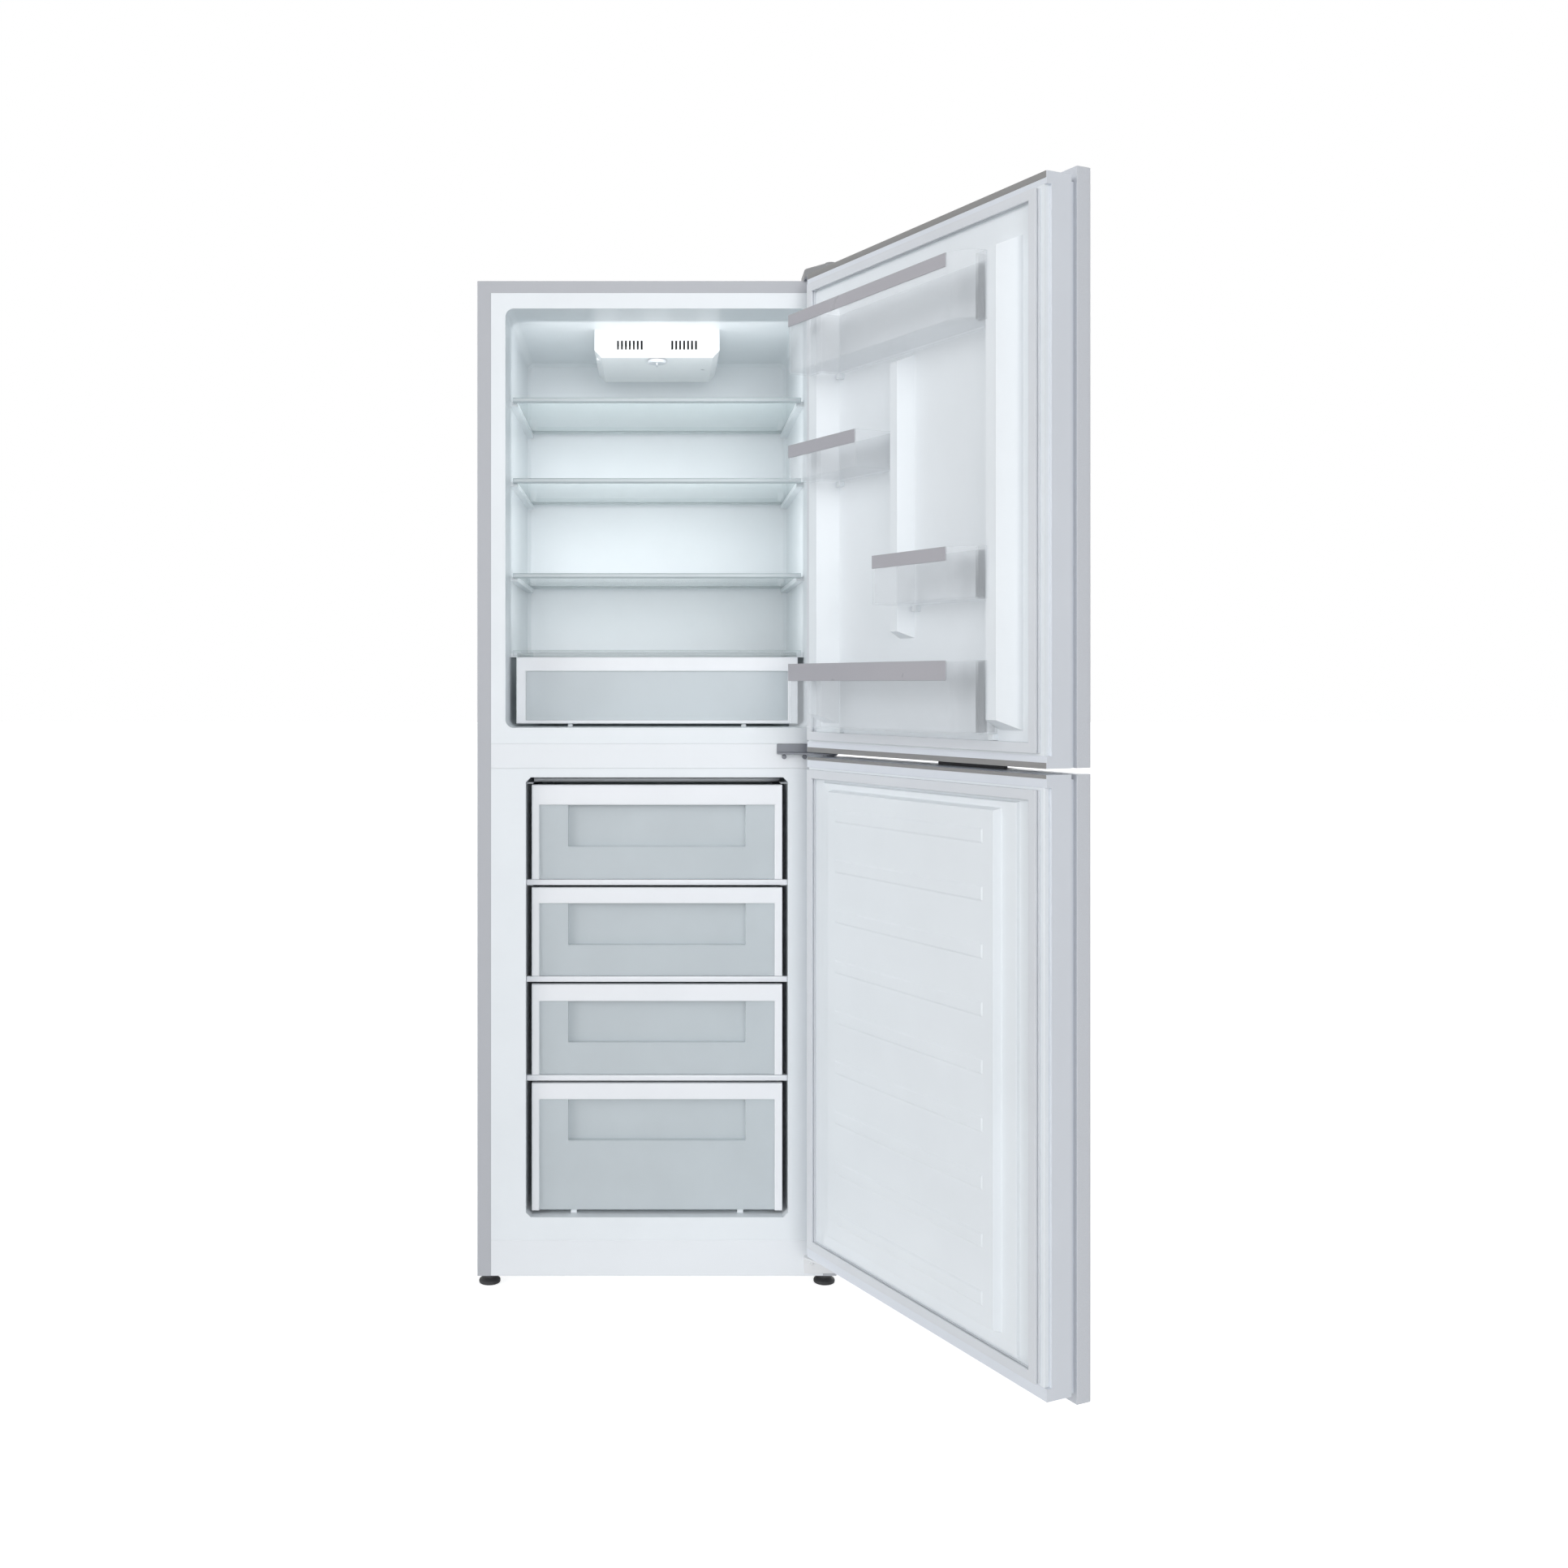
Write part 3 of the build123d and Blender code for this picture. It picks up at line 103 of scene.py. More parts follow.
def tones(color, spread):
    """A darker and a lighter tone of a colour."""
    return [c * (1 - spread) for c in color], [min(1, c * (1 + spread)) for c in color]


def tint(finish, shader, pattern, dark, light, low=0.35, high=0.65):
    """Let the colour drift between two tones."""
    ramp = finish.node_tree.nodes.new("ShaderNodeValToRGB")
    first, last = ramp.color_ramp.elements
    first.position, last.position = low, high
    first.color, last.color = (*dark, 1), (*light, 1)
    finish.node_tree.links.new(pattern, ramp.inputs["Fac"])
    finish.node_tree.links.new(ramp.outputs["Color"], shader.inputs["Base Color"])


def spread_roughness(finish, shader, pattern, low, high):
    """Let the gloss vary between two values."""
    span = finish.node_tree.nodes.new("ShaderNodeMapRange")
    span.inputs["To Min"].default_value = low
    span.inputs["To Max"].default_value = high
    finish.node_tree.links.new(pattern, span.inputs["Value"])
    finish.node_tree.links.new(span.outputs["Result"], shader.inputs["Roughness"])


def relief(finish, shader, pattern, depth, strength=0.4):
    """Give the surface a fine relief, its depth in metres."""
    bump = finish.node_tree.nodes.new("ShaderNodeBump")
    bump.inputs["Strength"].default_value = strength
    bump.inputs["Distance"].default_value = depth
    finish.node_tree.links.new(pattern, bump.inputs["Height"])
    finish.node_tree.links.new(bump.outputs["Normal"], shader.inputs["Normal"])


def moulded(name, color, rough=0.38, grain=900.0, depth=0.00004, spread=0.015, **sockets):
    """Moulded plastic: fine grain, a slow drift of colour and uneven gloss."""
    finish, shader = new_finish(name, color, rough, **sockets)
    tint(finish, shader, object_noise(finish, 6.0, 4.0), *tones(color, spread))
    spread_roughness(finish, shader, object_noise(finish, 25.0), rough - 0.02, rough + 0.03)
    relief(finish, shader, object_noise(finish, grain, 2.0), depth)
    return finish


def painted(name, color, rough=0.34, metal=0.0, depth=0.00005, **sockets):
    """Sprayed paint on steel: orange peel and a slight drift of tone."""
    finish, shader = new_finish(name, color, rough, metal, **sockets)
    tint(finish, shader, object_noise(finish, 3.0, 3.0), *tones(color, 0.012))
    spread_roughness(finish, shader, object_noise(finish, 14.0), rough - 0.04, rough + 0.05)
    relief(finish, shader, object_noise(finish, 420.0, 1.0), depth, 0.25)
    return finish


def silver(name, color, rough):
    """Silver lacquer: fine flakes of two tones."""
    finish, shader = new_finish(name, color, rough)
    tint(finish, shader, object_noise(finish, 1600.0, 1.0), *tones(color, 0.05), 0.3, 0.7)
    spread_roughness(finish, shader, object_noise(finish, 9.0), rough - 0.05, rough + 0.05)
    relief(finish, shader, object_noise(finish, 380.0, 1.0), 0.00004, 0.2)
    return finish


def galvanised(name, color, rough=0.42):
    """Zinc-coated steel with its faint spangle."""
    finish, shader = new_finish(name, color, rough, 0.6)
    nodes, links = finish.node_tree.nodes, finish.node_tree.links
    coord = nodes.new("ShaderNodeTexCoord")
    cells = nodes.new("ShaderNodeTexVoronoi")
    cells.inputs["Scale"].default_value = 90.0
    split = nodes.new("ShaderNodeSeparateColor")
    links.new(coord.outputs["Object"], cells.inputs["Vector"])
    links.new(cells.outputs["Color"], split.inputs["Color"])
    tint(finish, shader, split.outputs["Red"], *tones(color, 0.07), 0.0, 1.0)
    spread_roughness(finish, shader, object_noise(finish, 40.0), rough - 0.08, rough + 0.1)
    return finish


def clear(name, color, rough, face, edge, grain=0.0):
    """Clear plastic or glass: thin seen square on, fuller at a glancing angle."""
    finish, shader = new_finish(name, color, rough, IOR=1.5)
    nodes, links = finish.node_tree.nodes, finish.node_tree.links
    glance = nodes.new("ShaderNodeLayerWeight")
    glance.inputs["Blend"].default_value = 0.35
    cover = nodes.new("ShaderNodeMapRange")
    cover.inputs["To Min"].default_value = face
    cover.inputs["To Max"].default_value = edge
    links.new(glance.outputs["Facing"], cover.inputs["Value"])
    links.new(cover.outputs["Result"], shader.inputs["Alpha"])
    tint(finish, shader, object_noise(finish, 9.0), *tones(color, 0.02))
    low, high = max(0.0, rough - 0.02), rough + 0.04
    spread_roughness(finish, shader, object_noise(finish, 30.0), low, high)
    if grain:
        relief(finish, shader, object_noise(finish, grain, 1.0), 0.00004)
    return finish


finishes = {
    "steel_shell": silver("silver_lacquer", (0.49, 0.50, 0.53), 0.40),
    "back_sheet": galvanised("zinc_sheet", (0.60, 0.62, 0.64)),
    "foam": moulded("rigid_foam", (0.86, 0.78, 0.55), 0.8, 260.0, 0.0006, 0.05),
    "liner_white": moulded("liner_plastic", (0.865, 0.90, 0.925), 0.32, 700.0, 0.00003),
    "rail_white": painted("white_paint", (0.87, 0.895, 0.92), 0.32),
    "base_steel": galvanised("zinc_base", (0.55, 0.57, 0.58)),
    "compressor_black": painted("black_enamel", (0.022, 0.022, 0.025), 0.28, depth=0.0001),
    "coil_black": painted("black_wire_coat", (0.025, 0.025, 0.028), 0.42),
    "copper_pipe": painted("copper", (0.78, 0.42, 0.28), 0.30, 0.9),
    "tray_black": moulded("black_tray", (0.03, 0.03, 0.033), 0.5),
    "hinge_grey": painted("hinge_paint", (0.20, 0.21, 0.235), 0.38, 0.2),
    "hinge_white": painted("white_hinge", (0.84, 0.85, 0.86), 0.34),
    "cover_grey": moulded("cover_plastic", (0.27, 0.27, 0.275), 0.45),
    "housing_white": moulded("housing_plastic", (0.91, 0.92, 0.93), 0.28),
    "bulb_glass": clear("frosted_bulb", (0.93, 0.93, 0.90), 0.35, 0.6, 0.95),
    "coil_white": painted("white_wire_coat", (0.62, 0.64, 0.66), 0.4),
    "dial_grey": moulded("dial_plastic", (0.66, 0.68, 0.71), 0.4),
    "foot_black": moulded("black_rubber", (0.02, 0.02, 0.022), 0.6, 500.0, 0.0001),
    "roller_grey": moulded("roller_plastic", (0.10, 0.10, 0.11), 0.45),
    "shelf_glass": clear("shelf_glass_green", (0.72, 0.83, 0.84), 0.05, 0.14, 0.55),
    "trim_white": moulded("trim_plastic", (0.60, 0.66, 0.68), 0.25),
    "clear_plastic": clear("balcony_plastic", (0.86, 0.895, 0.93), 0.12, 0.05, 0.38),
    "handle_white": moulded("handle_plastic", (0.90, 0.915, 0.94), 0.24),
    "band_grey": moulded("band_plastic", (0.44, 0.43, 0.46), 0.28),
    # door silver lighter than the cabinet's: partly its own lacquer, partly painted light for the
    # brighter light on the door's edges
    "door_steel": silver("door_lacquer_with_painted_light", (0.69, 0.71, 0.75), 0.38),
    "door_plastic": moulded("edge_plastic", (0.78, 0.81, 0.86), 0.42),
    "gasket_grey": moulded("gasket_rubber", (0.74, 0.76, 0.79), 0.55, 800.0, 0.00008),
    "grip_dark": moulded("grip_plastic", (0.045, 0.045, 0.05), 0.45),
}
window_plastic = clear("window_plastic", (0.73, 0.79, 0.82), 0.22, 0.7, 0.92, 500.0)
bracket_plastic = moulded("bracket_plastic", (0.90, 0.92, 0.94), 0.3)
rail_plastic = moulded("rail_plastic", (0.86, 0.88, 0.91), 0.3)
# dark grey of the door-end strips: painted shade, not the colour of any part
painted_shade_plastic = moulded("painted_shade_plastic", (0.27, 0.265, 0.26), 0.45)
bright_screw = painted("bright_screw", (0.62, 0.63, 0.65), 0.28, 0.9)
relay_plastic = moulded("relay_plastic", (0.05, 0.05, 0.055), 0.5)

for node, slot in slot_of.items():
    carried = frame["nodes"][node]
    carried.data.materials.clear()
    carried.data.materials.append(finishes[slot])

# ---------------------------------------------------------------- making pieces

crease = math.radians(35)


def as_piece(mesh, name, finish, body, slot, *replaced):
    """Give a finished mesh its material, and let it move with its body."""
    mesh.name = name
    mesh.materials.clear()
    mesh.materials.append(finish)
    piece = bpy.data.objects.new(name, mesh)
    scene.collection.objects.link(piece)
    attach(piece, body)
    if replaced:
        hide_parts(*replaced)
    return piece


def smooth_mesh(form, name):
    """The mesh of a form, smooth but for its creases; the form itself goes."""
    for face in form.faces:
        face.smooth = True
    for edge in form.edges:
        edge.smooth = len(edge.link_faces) == 2 and edge.calc_face_angle(0) < crease
    mesh = bpy.data.meshes.new(name)
    form.to_mesh(mesh)
    form.free()
    return mesh


def shape_piece(form, name, finish, body, slot, *replaced):
    """Close, smooth and link a form drawn in mesh code."""
    bmesh.ops.remove_doubles(form, verts=form.verts, dist=0.001 * mm)
    bmesh.ops.recalc_face_normals(form, faces=form.faces)
    return as_piece(smooth_mesh(form, name), name, finish, body, slot, *replaced)


def applied(holder):
    """The mesh of an object with its modifiers applied; the object itself goes."""
    bpy.context.view_layer.update()
    seen = holder.evaluated_get(bpy.context.evaluated_depsgraph_get())
    mesh = bpy.data.meshes.new_from_object(seen)
    bpy.data.objects.remove(holder)
    return mesh


def eased(node, width, finish=None):
    """Stand for a CAD piece with the same form, its edges eased by a width in millimetres."""
    source = frame["nodes"][node]
    form = bmesh.new()
    form.from_mesh(source.data)
    bmesh.ops.remove_doubles(form, verts=form.verts, dist=0.02 * mm)
    bmesh.ops.dissolve_limit(
        form, angle_limit=math.radians(0.7), verts=form.verts, edges=form.edges
    )
    holder = bpy.data.objects.new(f"{node}_making", smooth_mesh(form, node))
    scene.collection.objects.link(holder)
    bevel = holder.modifiers.new("eased_edges", "BEVEL")
    bevel.width = width * mm
    bevel.segments = 2
    bevel.limit_method = "ANGLE"
    bevel.angle_limit = crease
    bevel.use_clamp_overlap = True
    weighted = holder.modifiers.new("even_shading", "WEIGHTED_NORMAL")
    weighted.keep_sharp = True
    return as_piece(
        applied(holder),
        f"{node}_eased",
        finish or finishes[slot_of[node]],
        source["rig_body"],
        slot_of[node],
        node,
    )


def add_block(form, low, high, ease, place=Matrix()):
    """Add a block between two corners, its edges eased by a width in millimetres."""
    centre, size = (low + high) / 2, high - low
    corners = bmesh.ops.create_cube(form, size=1)["verts"]
    for corner in corners:
        corner.co = place @ (centre + Vector(a * b for a, b in zip(corner.co, size)))
    edges = list({edge for corner in corners for edge in corner.link_edges})
    bmesh.ops.bevel(form, geom=edges, offset=ease * mm, segments=2, profile=0.5, affect="EDGES")


def add_turned(form, profile, place, sides=40, flutes=0, flute_depth=0.0):
    """Add a turned form; the profile gives radius and height along its axis, in millimetres."""
    rings = []
    for radius, height in profile:
        if radius == 0:
            rings.append([form.verts.new(place @ Vector((0, 0, height * mm)))])
            continue
        ring = []
        for side in range(sides):
            turn = 2 * math.pi * side / sides
            reach = (radius - flute_depth * (0.5 + 0.5 * math.cos(flutes * turn))) * mm
            out = Vector((reach * math.cos(turn), reach * math.sin(turn), height * mm))
            ring.append(form.verts.new(place @ out))
        rings.append(ring)
    for low, high in zip(rings, rings[1:]):
        for side in range(sides):
            after = (side + 1) % sides
            if len(low) == 1:
                form.faces.new((low[0], high[side], high[after]))
            elif len(high) == 1:
                form.faces.new((low[side], low[after], high[0]))
            else:
                form.faces.new((low[side], low[after], high[after], high[side]))


def rounded_route(corners, bend, chords=6):
    """The line of a bent pipe: straight runs with an arc at each corner."""
    route = [corners[0]]
    for before, corner, after in zip(corners, corners[1:], corners[2:]):
        into, out = (before - corner).normalized(), (after - corner).normalized()
        turn = math.pi - into.angle(out)
        centre = corner + (into + out).normalized() * (bend / math.cos(turn / 2))
        first = corner + into * bend * math.tan(turn / 2) - centre
        last = corner + out * bend * math.tan(turn / 2) - centre
        for step in range(chords + 1):
            done = step / chords
            near = math.sin((1 - done) * turn) / math.sin(turn)
            far = math.sin(done * turn) / math.sin(turn)
            point = centre + first * near + last * far
            if (point - route[-1]).length > 0.01 * mm:
                route.append(point)
    route.append(corners[-1])
    return route


def add_tube(form, route, radius, sides=12):
    """Add a round tube along a route, its ends closed; the radius is in millimetres."""
    across = (route[1] - route[0]).orthogonal()
    rings = []
    for index, point in enumerate(route):
        ahead = route[min(index + 1, len(route) - 1)]
        behind = route[max(index - 1, 0)]
        along = (ahead - behind).normalized()
        across = (across - along * across.dot(along)).normalized()
        up = along.cross(across)
        turns = [2 * math.pi * side / sides for side in range(sides)]
        rings.append([
            form.verts.new(point + radius * mm * (math.cos(t) * across + math.sin(t) * up))
            for t in turns
        ])
    for low, high in zip(rings, rings[1:]):
        for side in range(sides):
            after = (side + 1) % sides
            form.faces.new((low[side], low[after], high[after], high[side]))
    form.faces.new(rings[0])
    form.faces.new(rings[-1])


def facing(point, direction):
    """A place at a point, with its own Z axis along a direction."""
    turn = Vector(direction).to_track_quat("Z", "Y")
    return Matrix.Translation(point) @ turn.to_matrix().to_4x4()


# ---------------------------------------------------------------- what repeats


def new_tree(name, sockets):
    """A geometry tree with named inputs and one geometry output."""
    tree = bpy.data.node_groups.new(name, "GeometryNodeTree")
    tree.interface.new_socket("Geometry", in_out="OUTPUT", socket_type="NodeSocketGeometry")
    tree.interface.new_socket("Geometry", in_out="INPUT", socket_type="NodeSocketGeometry")
    for label, kind in sockets:
        tree.interface.new_socket(label, in_out="INPUT", socket_type=f"NodeSocket{kind}")
    return tree, tree.nodes.new("NodeGroupInput"), tree.nodes.new("NodeGroupOutput")


def end_tree(tree, given, out, instances):
    """Make the copies real and give them their material."""
    real = tree.nodes.new("GeometryNodeRealizeInstances")
    dressed = tree.nodes.new("GeometryNodeSetMaterial")
    tree.links.new(instances, real.inputs["Geometry"])
    tree.links.new(real.outputs["Geometry"], dressed.inputs["Geometry"])
    tree.links.new(given.outputs["Finish"], dressed.inputs["Material"])
    tree.links.new(dressed.outputs["Geometry"], out.inputs["Geometry"])


def wire_row_tree():
    """A row of straight wires side by side, as they are welded across a coil."""
    tree, given, out = new_tree("wire_row", [
        ("Count", "Int"), ("Start", "Vector"), ("Step", "Vector"), ("Turn", "Vector"),
        ("Length", "Float"), ("Thickness", "Float"), ("Finish", "Material"),
    ])
    nodes, links = tree.nodes, tree.links
    row = nodes.new("GeometryNodeMeshLine")
    half = nodes.new("ShaderNodeMath")
    half.operation = "MULTIPLY"
    half.inputs[1].default_value = 0.5
    wire = nodes.new("GeometryNodeMeshCylinder")
    wire.inputs["Vertices"].default_value = 8
    copies = nodes.new("GeometryNodeInstanceOnPoints")
    links.new(given.outputs["Count"], row.inputs["Count"])
    links.new(given.outputs["Start"], row.inputs["Start Location"])
    links.new(given.outputs["Step"], row.inputs["Offset"])
    links.new(given.outputs["Thickness"], half.inputs[0])
    links.new(half.outputs[0], wire.inputs["Radius"])
    links.new(given.outputs["Length"], wire.inputs["Depth"])
    links.new(row.outputs["Mesh"], copies.inputs["Points"])
    links.new(wire.outputs["Mesh"], copies.inputs["Instance"])
    links.new(given.outputs["Turn"], copies.inputs["Rotation"])
    end_tree(tree, given, out, copies.outputs["Instances"])
    return tree


def screw_tree():
    """A screw head with a sunk drive on each point of the mesh."""
    tree, given, out = new_tree("screw_heads", [
        ("Head", "Float"), ("Rise", "Float"), ("Turn", "Vector"), ("Finish", "Material"),
    ])
    nodes, links = tree.nodes, tree.links

    def sized(value, factor):
        times = nodes.new("ShaderNodeMath")
        times.operation = "MULTIPLY"
        times.inputs[1].default_value = factor
        links.new(value, times.inputs[0])
        return times.outputs[0]

    head = nodes.new("GeometryNodeMeshCone")
    head.inputs["Vertices"].default_value = 14
    links.new(sized(given.outputs["Head"], 0.5), head.inputs["Radius Bottom"])
    links.new(sized(given.outputs["Head"], 0.36), head.inputs["Radius Top"])
    links.new(given.outputs["Rise"], head.inputs["Depth"])
    rim = nodes.new("GeometryNodeExtrudeMesh")
    rim.inputs["Offset Scale"].default_value = 0.0
    links.new(head.outputs["Mesh"], rim.inputs["Mesh"])
    links.new(head.outputs["Top"], rim.inputs["Selection"])
    narrow = nodes.new("GeometryNodeScaleElements")
    narrow.inputs["Scale"].default_value = 0.55
    links.new(rim.outputs["Mesh"], narrow.inputs["Geometry"])
    links.new(rim.outputs["Top"], narrow.inputs["Selection"])
    sunk = nodes.new("GeometryNodeExtrudeMesh")
    links.new(narrow.outputs["Geometry"], sunk.inputs["Mesh"])
    links.new(rim.outputs["Top"], sunk.inputs["Selection"])
    links.new(sized(given.outputs["Rise"], -0.6), sunk.inputs["Offset Scale"])
    copies = nodes.new("GeometryNodeInstanceOnPoints")
    links.new(given.outputs["Geometry"], copies.inputs["Points"])
    links.new(sunk.outputs["Mesh"], copies.inputs["Instance"])
    links.new(given.outputs["Turn"], copies.inputs["Rotation"])
    end_tree(tree, given, out, copies.outputs["Instances"])
    return tree


def grown(tree, points=(), **values):
    """The mesh that a geometry tree makes from these points and named inputs."""
    mesh = bpy.data.meshes.new(tree.name)
    mesh.from_pydata(list(points), [], [])
    holder = bpy.data.objects.new(f"{tree.name}_making", mesh)
    scene.collection.objects.link(holder)
    grower = holder.modifiers.new(tree.name, "NODES")
    grower.node_group = tree
    sockets = [item for item in tree.interface.items_tree if item.in_out == "INPUT"]
    named = {socket.name: socket.identifier for socket in sockets}
    for label, value in values.items():
        grower[named[label]] = value
    return applied(holder)


wire_row = wire_row_tree()
screw_heads = screw_tree()


def add_wires(form, count, start, step, turn, length, thickness, finish):
    """Add one row of wires to a form; length and thickness are in millimetres."""
    mesh = grown(
        wire_row, Count=count, Start=start, Step=step, Turn=turn,
        Length=length * mm, Thickness=thickness * mm, Finish=finish,
    )
    form.from_mesh(mesh)
    bpy.data.meshes.remove(mesh)


def screws(name, body, slot, points, direction, head, rise, finish=bright_screw):
    """Screw heads that stand on a face and look along a direction."""
    turn = Vector(direction).to_track_quat("Z", "Y").to_euler()
    mesh = grown(screw_heads, points, Head=head * mm, Rise=rise * mm, Turn=turn, Finish=finish)
    form = bmesh.new()
    form.from_mesh(mesh)
    return shape_piece(form, name, finish, body, slot)


# ---------------------------------------------------------------- cabinet

up, down, back, front, right = (0, 0, 1), (0, 0, -1), (0, 1, 0), (0, -1, 0), (1, 0, 0)

for node, width in (
    ("cabinet_shell", 0.8), ("back_panel", 0.3), ("fridge_liner", 0.9), ("freezer_liner", 0.9),
    ("centre_crossrail", 0.5), ("kick_plate", 0.5), ("base_frame", 0.4), ("lamp_housing", 0.8),
    ("evaporating_tray", 0.9), ("top_hinge", 0.7), ("top_hinge_cover", 1.2),
    ("middle_hinge", 0.7), ("bottom_hinge", 0.7),
):
    eased(node, width)


def back_screws():
    """Screws down both edges of the back sheet."""
    low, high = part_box("back_panel")
    inset, rise, rows = 12 * mm, 1.8, 6
    bottom, top = 270 * mm, high.z - 30 * mm
    points = [
        Vector((x, high.y + rise / 2 * mm, bottom + (top - bottom) * row / (rows - 1)))
        for x in (low.x + inset, high.x - inset)
        for row in range(rows)
    ]
    screws("back_panel_screws", "cabinet", "base_steel", points, back, 7.5, rise)


def hinge_screws():
    """Screws that hold the middle and bottom hinges to the cabinet's front."""
    inset, sunk_rise = 12.0, 0.8
    for hinge, height, spread, leg, slot in (
        ("middle_hinge", 11.0, 34.0, 3.0, "hinge_grey"),
        ("bottom_hinge", 18.0, 22.0, 2.5, "hinge_white"),
    ):
        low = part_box(hinge)[0]
        points = [
            Vector((
                low.x + (inset + across) * mm,
                cabinet_low.y - (leg + sunk_rise) * mm,
                low.z + height * mm,
            ))
            for across in (0, spread)
        ]
        screws(
            f"{hinge}_screws", "cabinet", slot_of[hinge], points, front, 8.0, 1.8, finishes[slot]
        )


back_screws()
hinge_screws()

# ---------------------------------------------------------------- cooling circuit


def snake(half_width, start, pitch, runs, place):
    """Corner points of a coil that runs from side to side."""
    corners = []
    for run in range(runs):
        side = 1 if run % 2 else -1
        corners.append(place(side * half_width, start + run * pitch))
        corners.append(place(-side * half_width, start + run * pitch))
    return corners


condenser_half, condenser_first, condenser_pitch, condenser_runs = 225.0, 320.0, 80.0, 13
condenser_tube, condenser_wire, condenser_wire_pitch = 5.0, 1.6, 7.5
condenser_y, condenser_wall_y = 541.0, 529.0
weld_sink = 0.35  # the wires sink this far into the tube


def condenser():
    """The black coil on the back: a bent tube with wires welded to both of its sides."""
    low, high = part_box("condenser")
    form = bmesh.new()
    corners = snake(
        condenser_half, condenser_first, condenser_pitch, condenser_runs,
        lambda x, z: spot(x, condenser_y, z),
    )
    add_tube(form, rounded_route(corners, condenser_pitch / 2 * mm, 8), condenser_tube / 2, 12)
    wire_span = 2 * (condenser_half - condenser_pitch / 2)
    count = int(wire_span // condenser_wire_pitch) + 1
    length = (high.z - low.z) / mm
    sunk = condenser_tube / 2 + condenser_wire / 2 - weld_sink
    for side in (-1, 1):
        start = spot(-(count - 1) * condenser_wire_pitch / 2, condenser_y + side * sunk, 0)
        start.z = (low.z + high.z) / 2
        step = Vector((condenser_wire_pitch * mm, 0, 0))
        add_wires(
            form, count, start, step, (0, 0, 0), length, condenser_wire, finishes["coil_black"]
        )
    bracket_half, bracket_sheet, bracket_beside = 8.0, 1.5, 14
    bracket_plates = (
        (condenser_y - condenser_tube / 2, 2.0),
        (condenser_wall_y + bracket_sheet, 22.0),
    )
    for x in (-wire_span / 2 - bracket_beside, wire_span / 2 + bracket_beside):
        for z in (low.z / mm + 90, high.z / mm - 130):
            for back_y, rise in bracket_plates:
                add_block(
                    form,
                    spot(x - bracket_half, condenser_wall_y, z),
                    spot(x + bracket_half, back_y, z + rise),
                    0.4,
                )
    shape_piece(
        form, "condenser_coil", finishes["coil_black"], "cabinet", "coil_black", "condenser"
    )


compressor_x, compressor_y, shell_bottom = -30.0, 437.0, 31.0
compressor_length, compressor_width, compressor_height = 196.0, 150.0, 146.0
weld_height, weld_flange = 65.7, 5.0
lower_rounding, upper_rounding = 22.0, 38.0
discharge = Vector((-144.0, 419.0, 113.0))
suction = Vector((-144.0, 461.0, 124.0))
stub_radius, stub_length = 4.0, 40.0


def compressor():
    """The sealed black shell with its weld, feet, relay cover and pipe stubs."""
    form = bmesh.new()
    seam = 3.0  # the weld stands out from the wall by this
    wall = compressor_length / 2 - seam
    squeeze = Matrix.Diagonal((1, compressor_width / compressor_length, 1, 1))
    stand = Matrix.Translation(spot(compressor_x, compressor_y, shell_bottom)) @ squeeze
    profile = [(0, 0)]
    steps = 7
    for step in range(steps + 1):
        turn = math.pi / 2 * step / steps
        reach = wall - lower_rounding * 1.5 * (1 - math.sin(turn))
        profile.append((reach, lower_rounding * (1 - math.cos(turn))))
    profile += [
        (wall, weld_height),
        (wall + seam, weld_height + 0.6),
        (wall + seam, weld_height + weld_flange),
        (wall, weld_height + weld_flange + 0.8),
    ]
    for step in range(steps + 1):
        turn = math.pi / 2 * step / steps
        reach = wall - upper_rounding * 1.6 * (1 - math.cos(turn))
        profile.append((reach, compressor_height - upper_rounding * (1 - math.sin(turn))))
    profile.append((0, compressor_height))
    add_turned(form, profile, stand, 56)
    for stub in (discharge, suction):
        start = spot(*stub)
        add_tube(form, [start, start + Vector((stub_length * mm, 0, 0))], stub_radius, 20)
    grommet_x, grommet_y, leg_height, leg_margin = 82.0, 56.0, 3.0, 13
    leg_z = shell_bottom - 2
    leg_x, leg_y = grommet_x + leg_margin, grommet_y + leg_margin
    add_block(
        form,
        spot(compressor_x - leg_x, compressor_y - leg_y, leg_z),
        spot(compressor_x + leg_x, compressor_y + leg_y, leg_z + leg_height),
        1.2,
    )
    shape_piece(
        form, "compressor_shell", finishes["compressor_black"], "cabinet", "compressor_black",
        "compressor",
    )
    grommets = bmesh.new()
    base_z = 18.5
    ribs = [(0, 0), (10, 0), (11, 1), (11, 3.4), (9.4, 4.2), (9.4, 5.4), (11, 6.2), (11, 9.4),
            (10, 10.4), (6.5, 10.4), (6.5, 13.6), (8.6, 13.7), (8.6, 15), (3, 15), (0, 15)]
    for dx in (-grommet_x, grommet_x):
        for dy in (-grommet_y, grommet_y):
            add_turned(
                grommets, ribs, facing(spot(compressor_x + dx, compressor_y + dy, base_z), up), 24
            )
    shape_piece(grommets, "compressor_grommets", finishes["foot_black"], "cabinet", "foot_black")
    cover = bmesh.new()
    cover_x, cover_half, vent_half = compressor_x + compressor_length / 2, 31, 31.6
    add_block(
        cover,
        spot(cover_x - 14, compressor_y - cover_half, shell_bottom + 37),
        spot(cover_x + 28, compressor_y + cover_half, shell_bottom + 103),
        3.0,
    )
    for z in (52, 64, 76, 88):
        add_block(
            cover,
            spot(cover_x - 6, compressor_y - vent_half, shell_bottom + z),
            spot(cover_x + 20, compressor_y + vent_half, shell_bottom + z + 3),
            0.5,
        )
    shape_piece(cover, "relay_cover", relay_plastic, "cabinet", "compressor_black")


pipe_radius, suction_radius, capillary_radius, pipe_bend = 3.0, 4.0, 1.5, 12.0
coil_out, drier_x, drier_y, bay_top = 247.0, 212.0, 505.0, 240.5
drier_top, drier_bottom = 195.5, 123.5


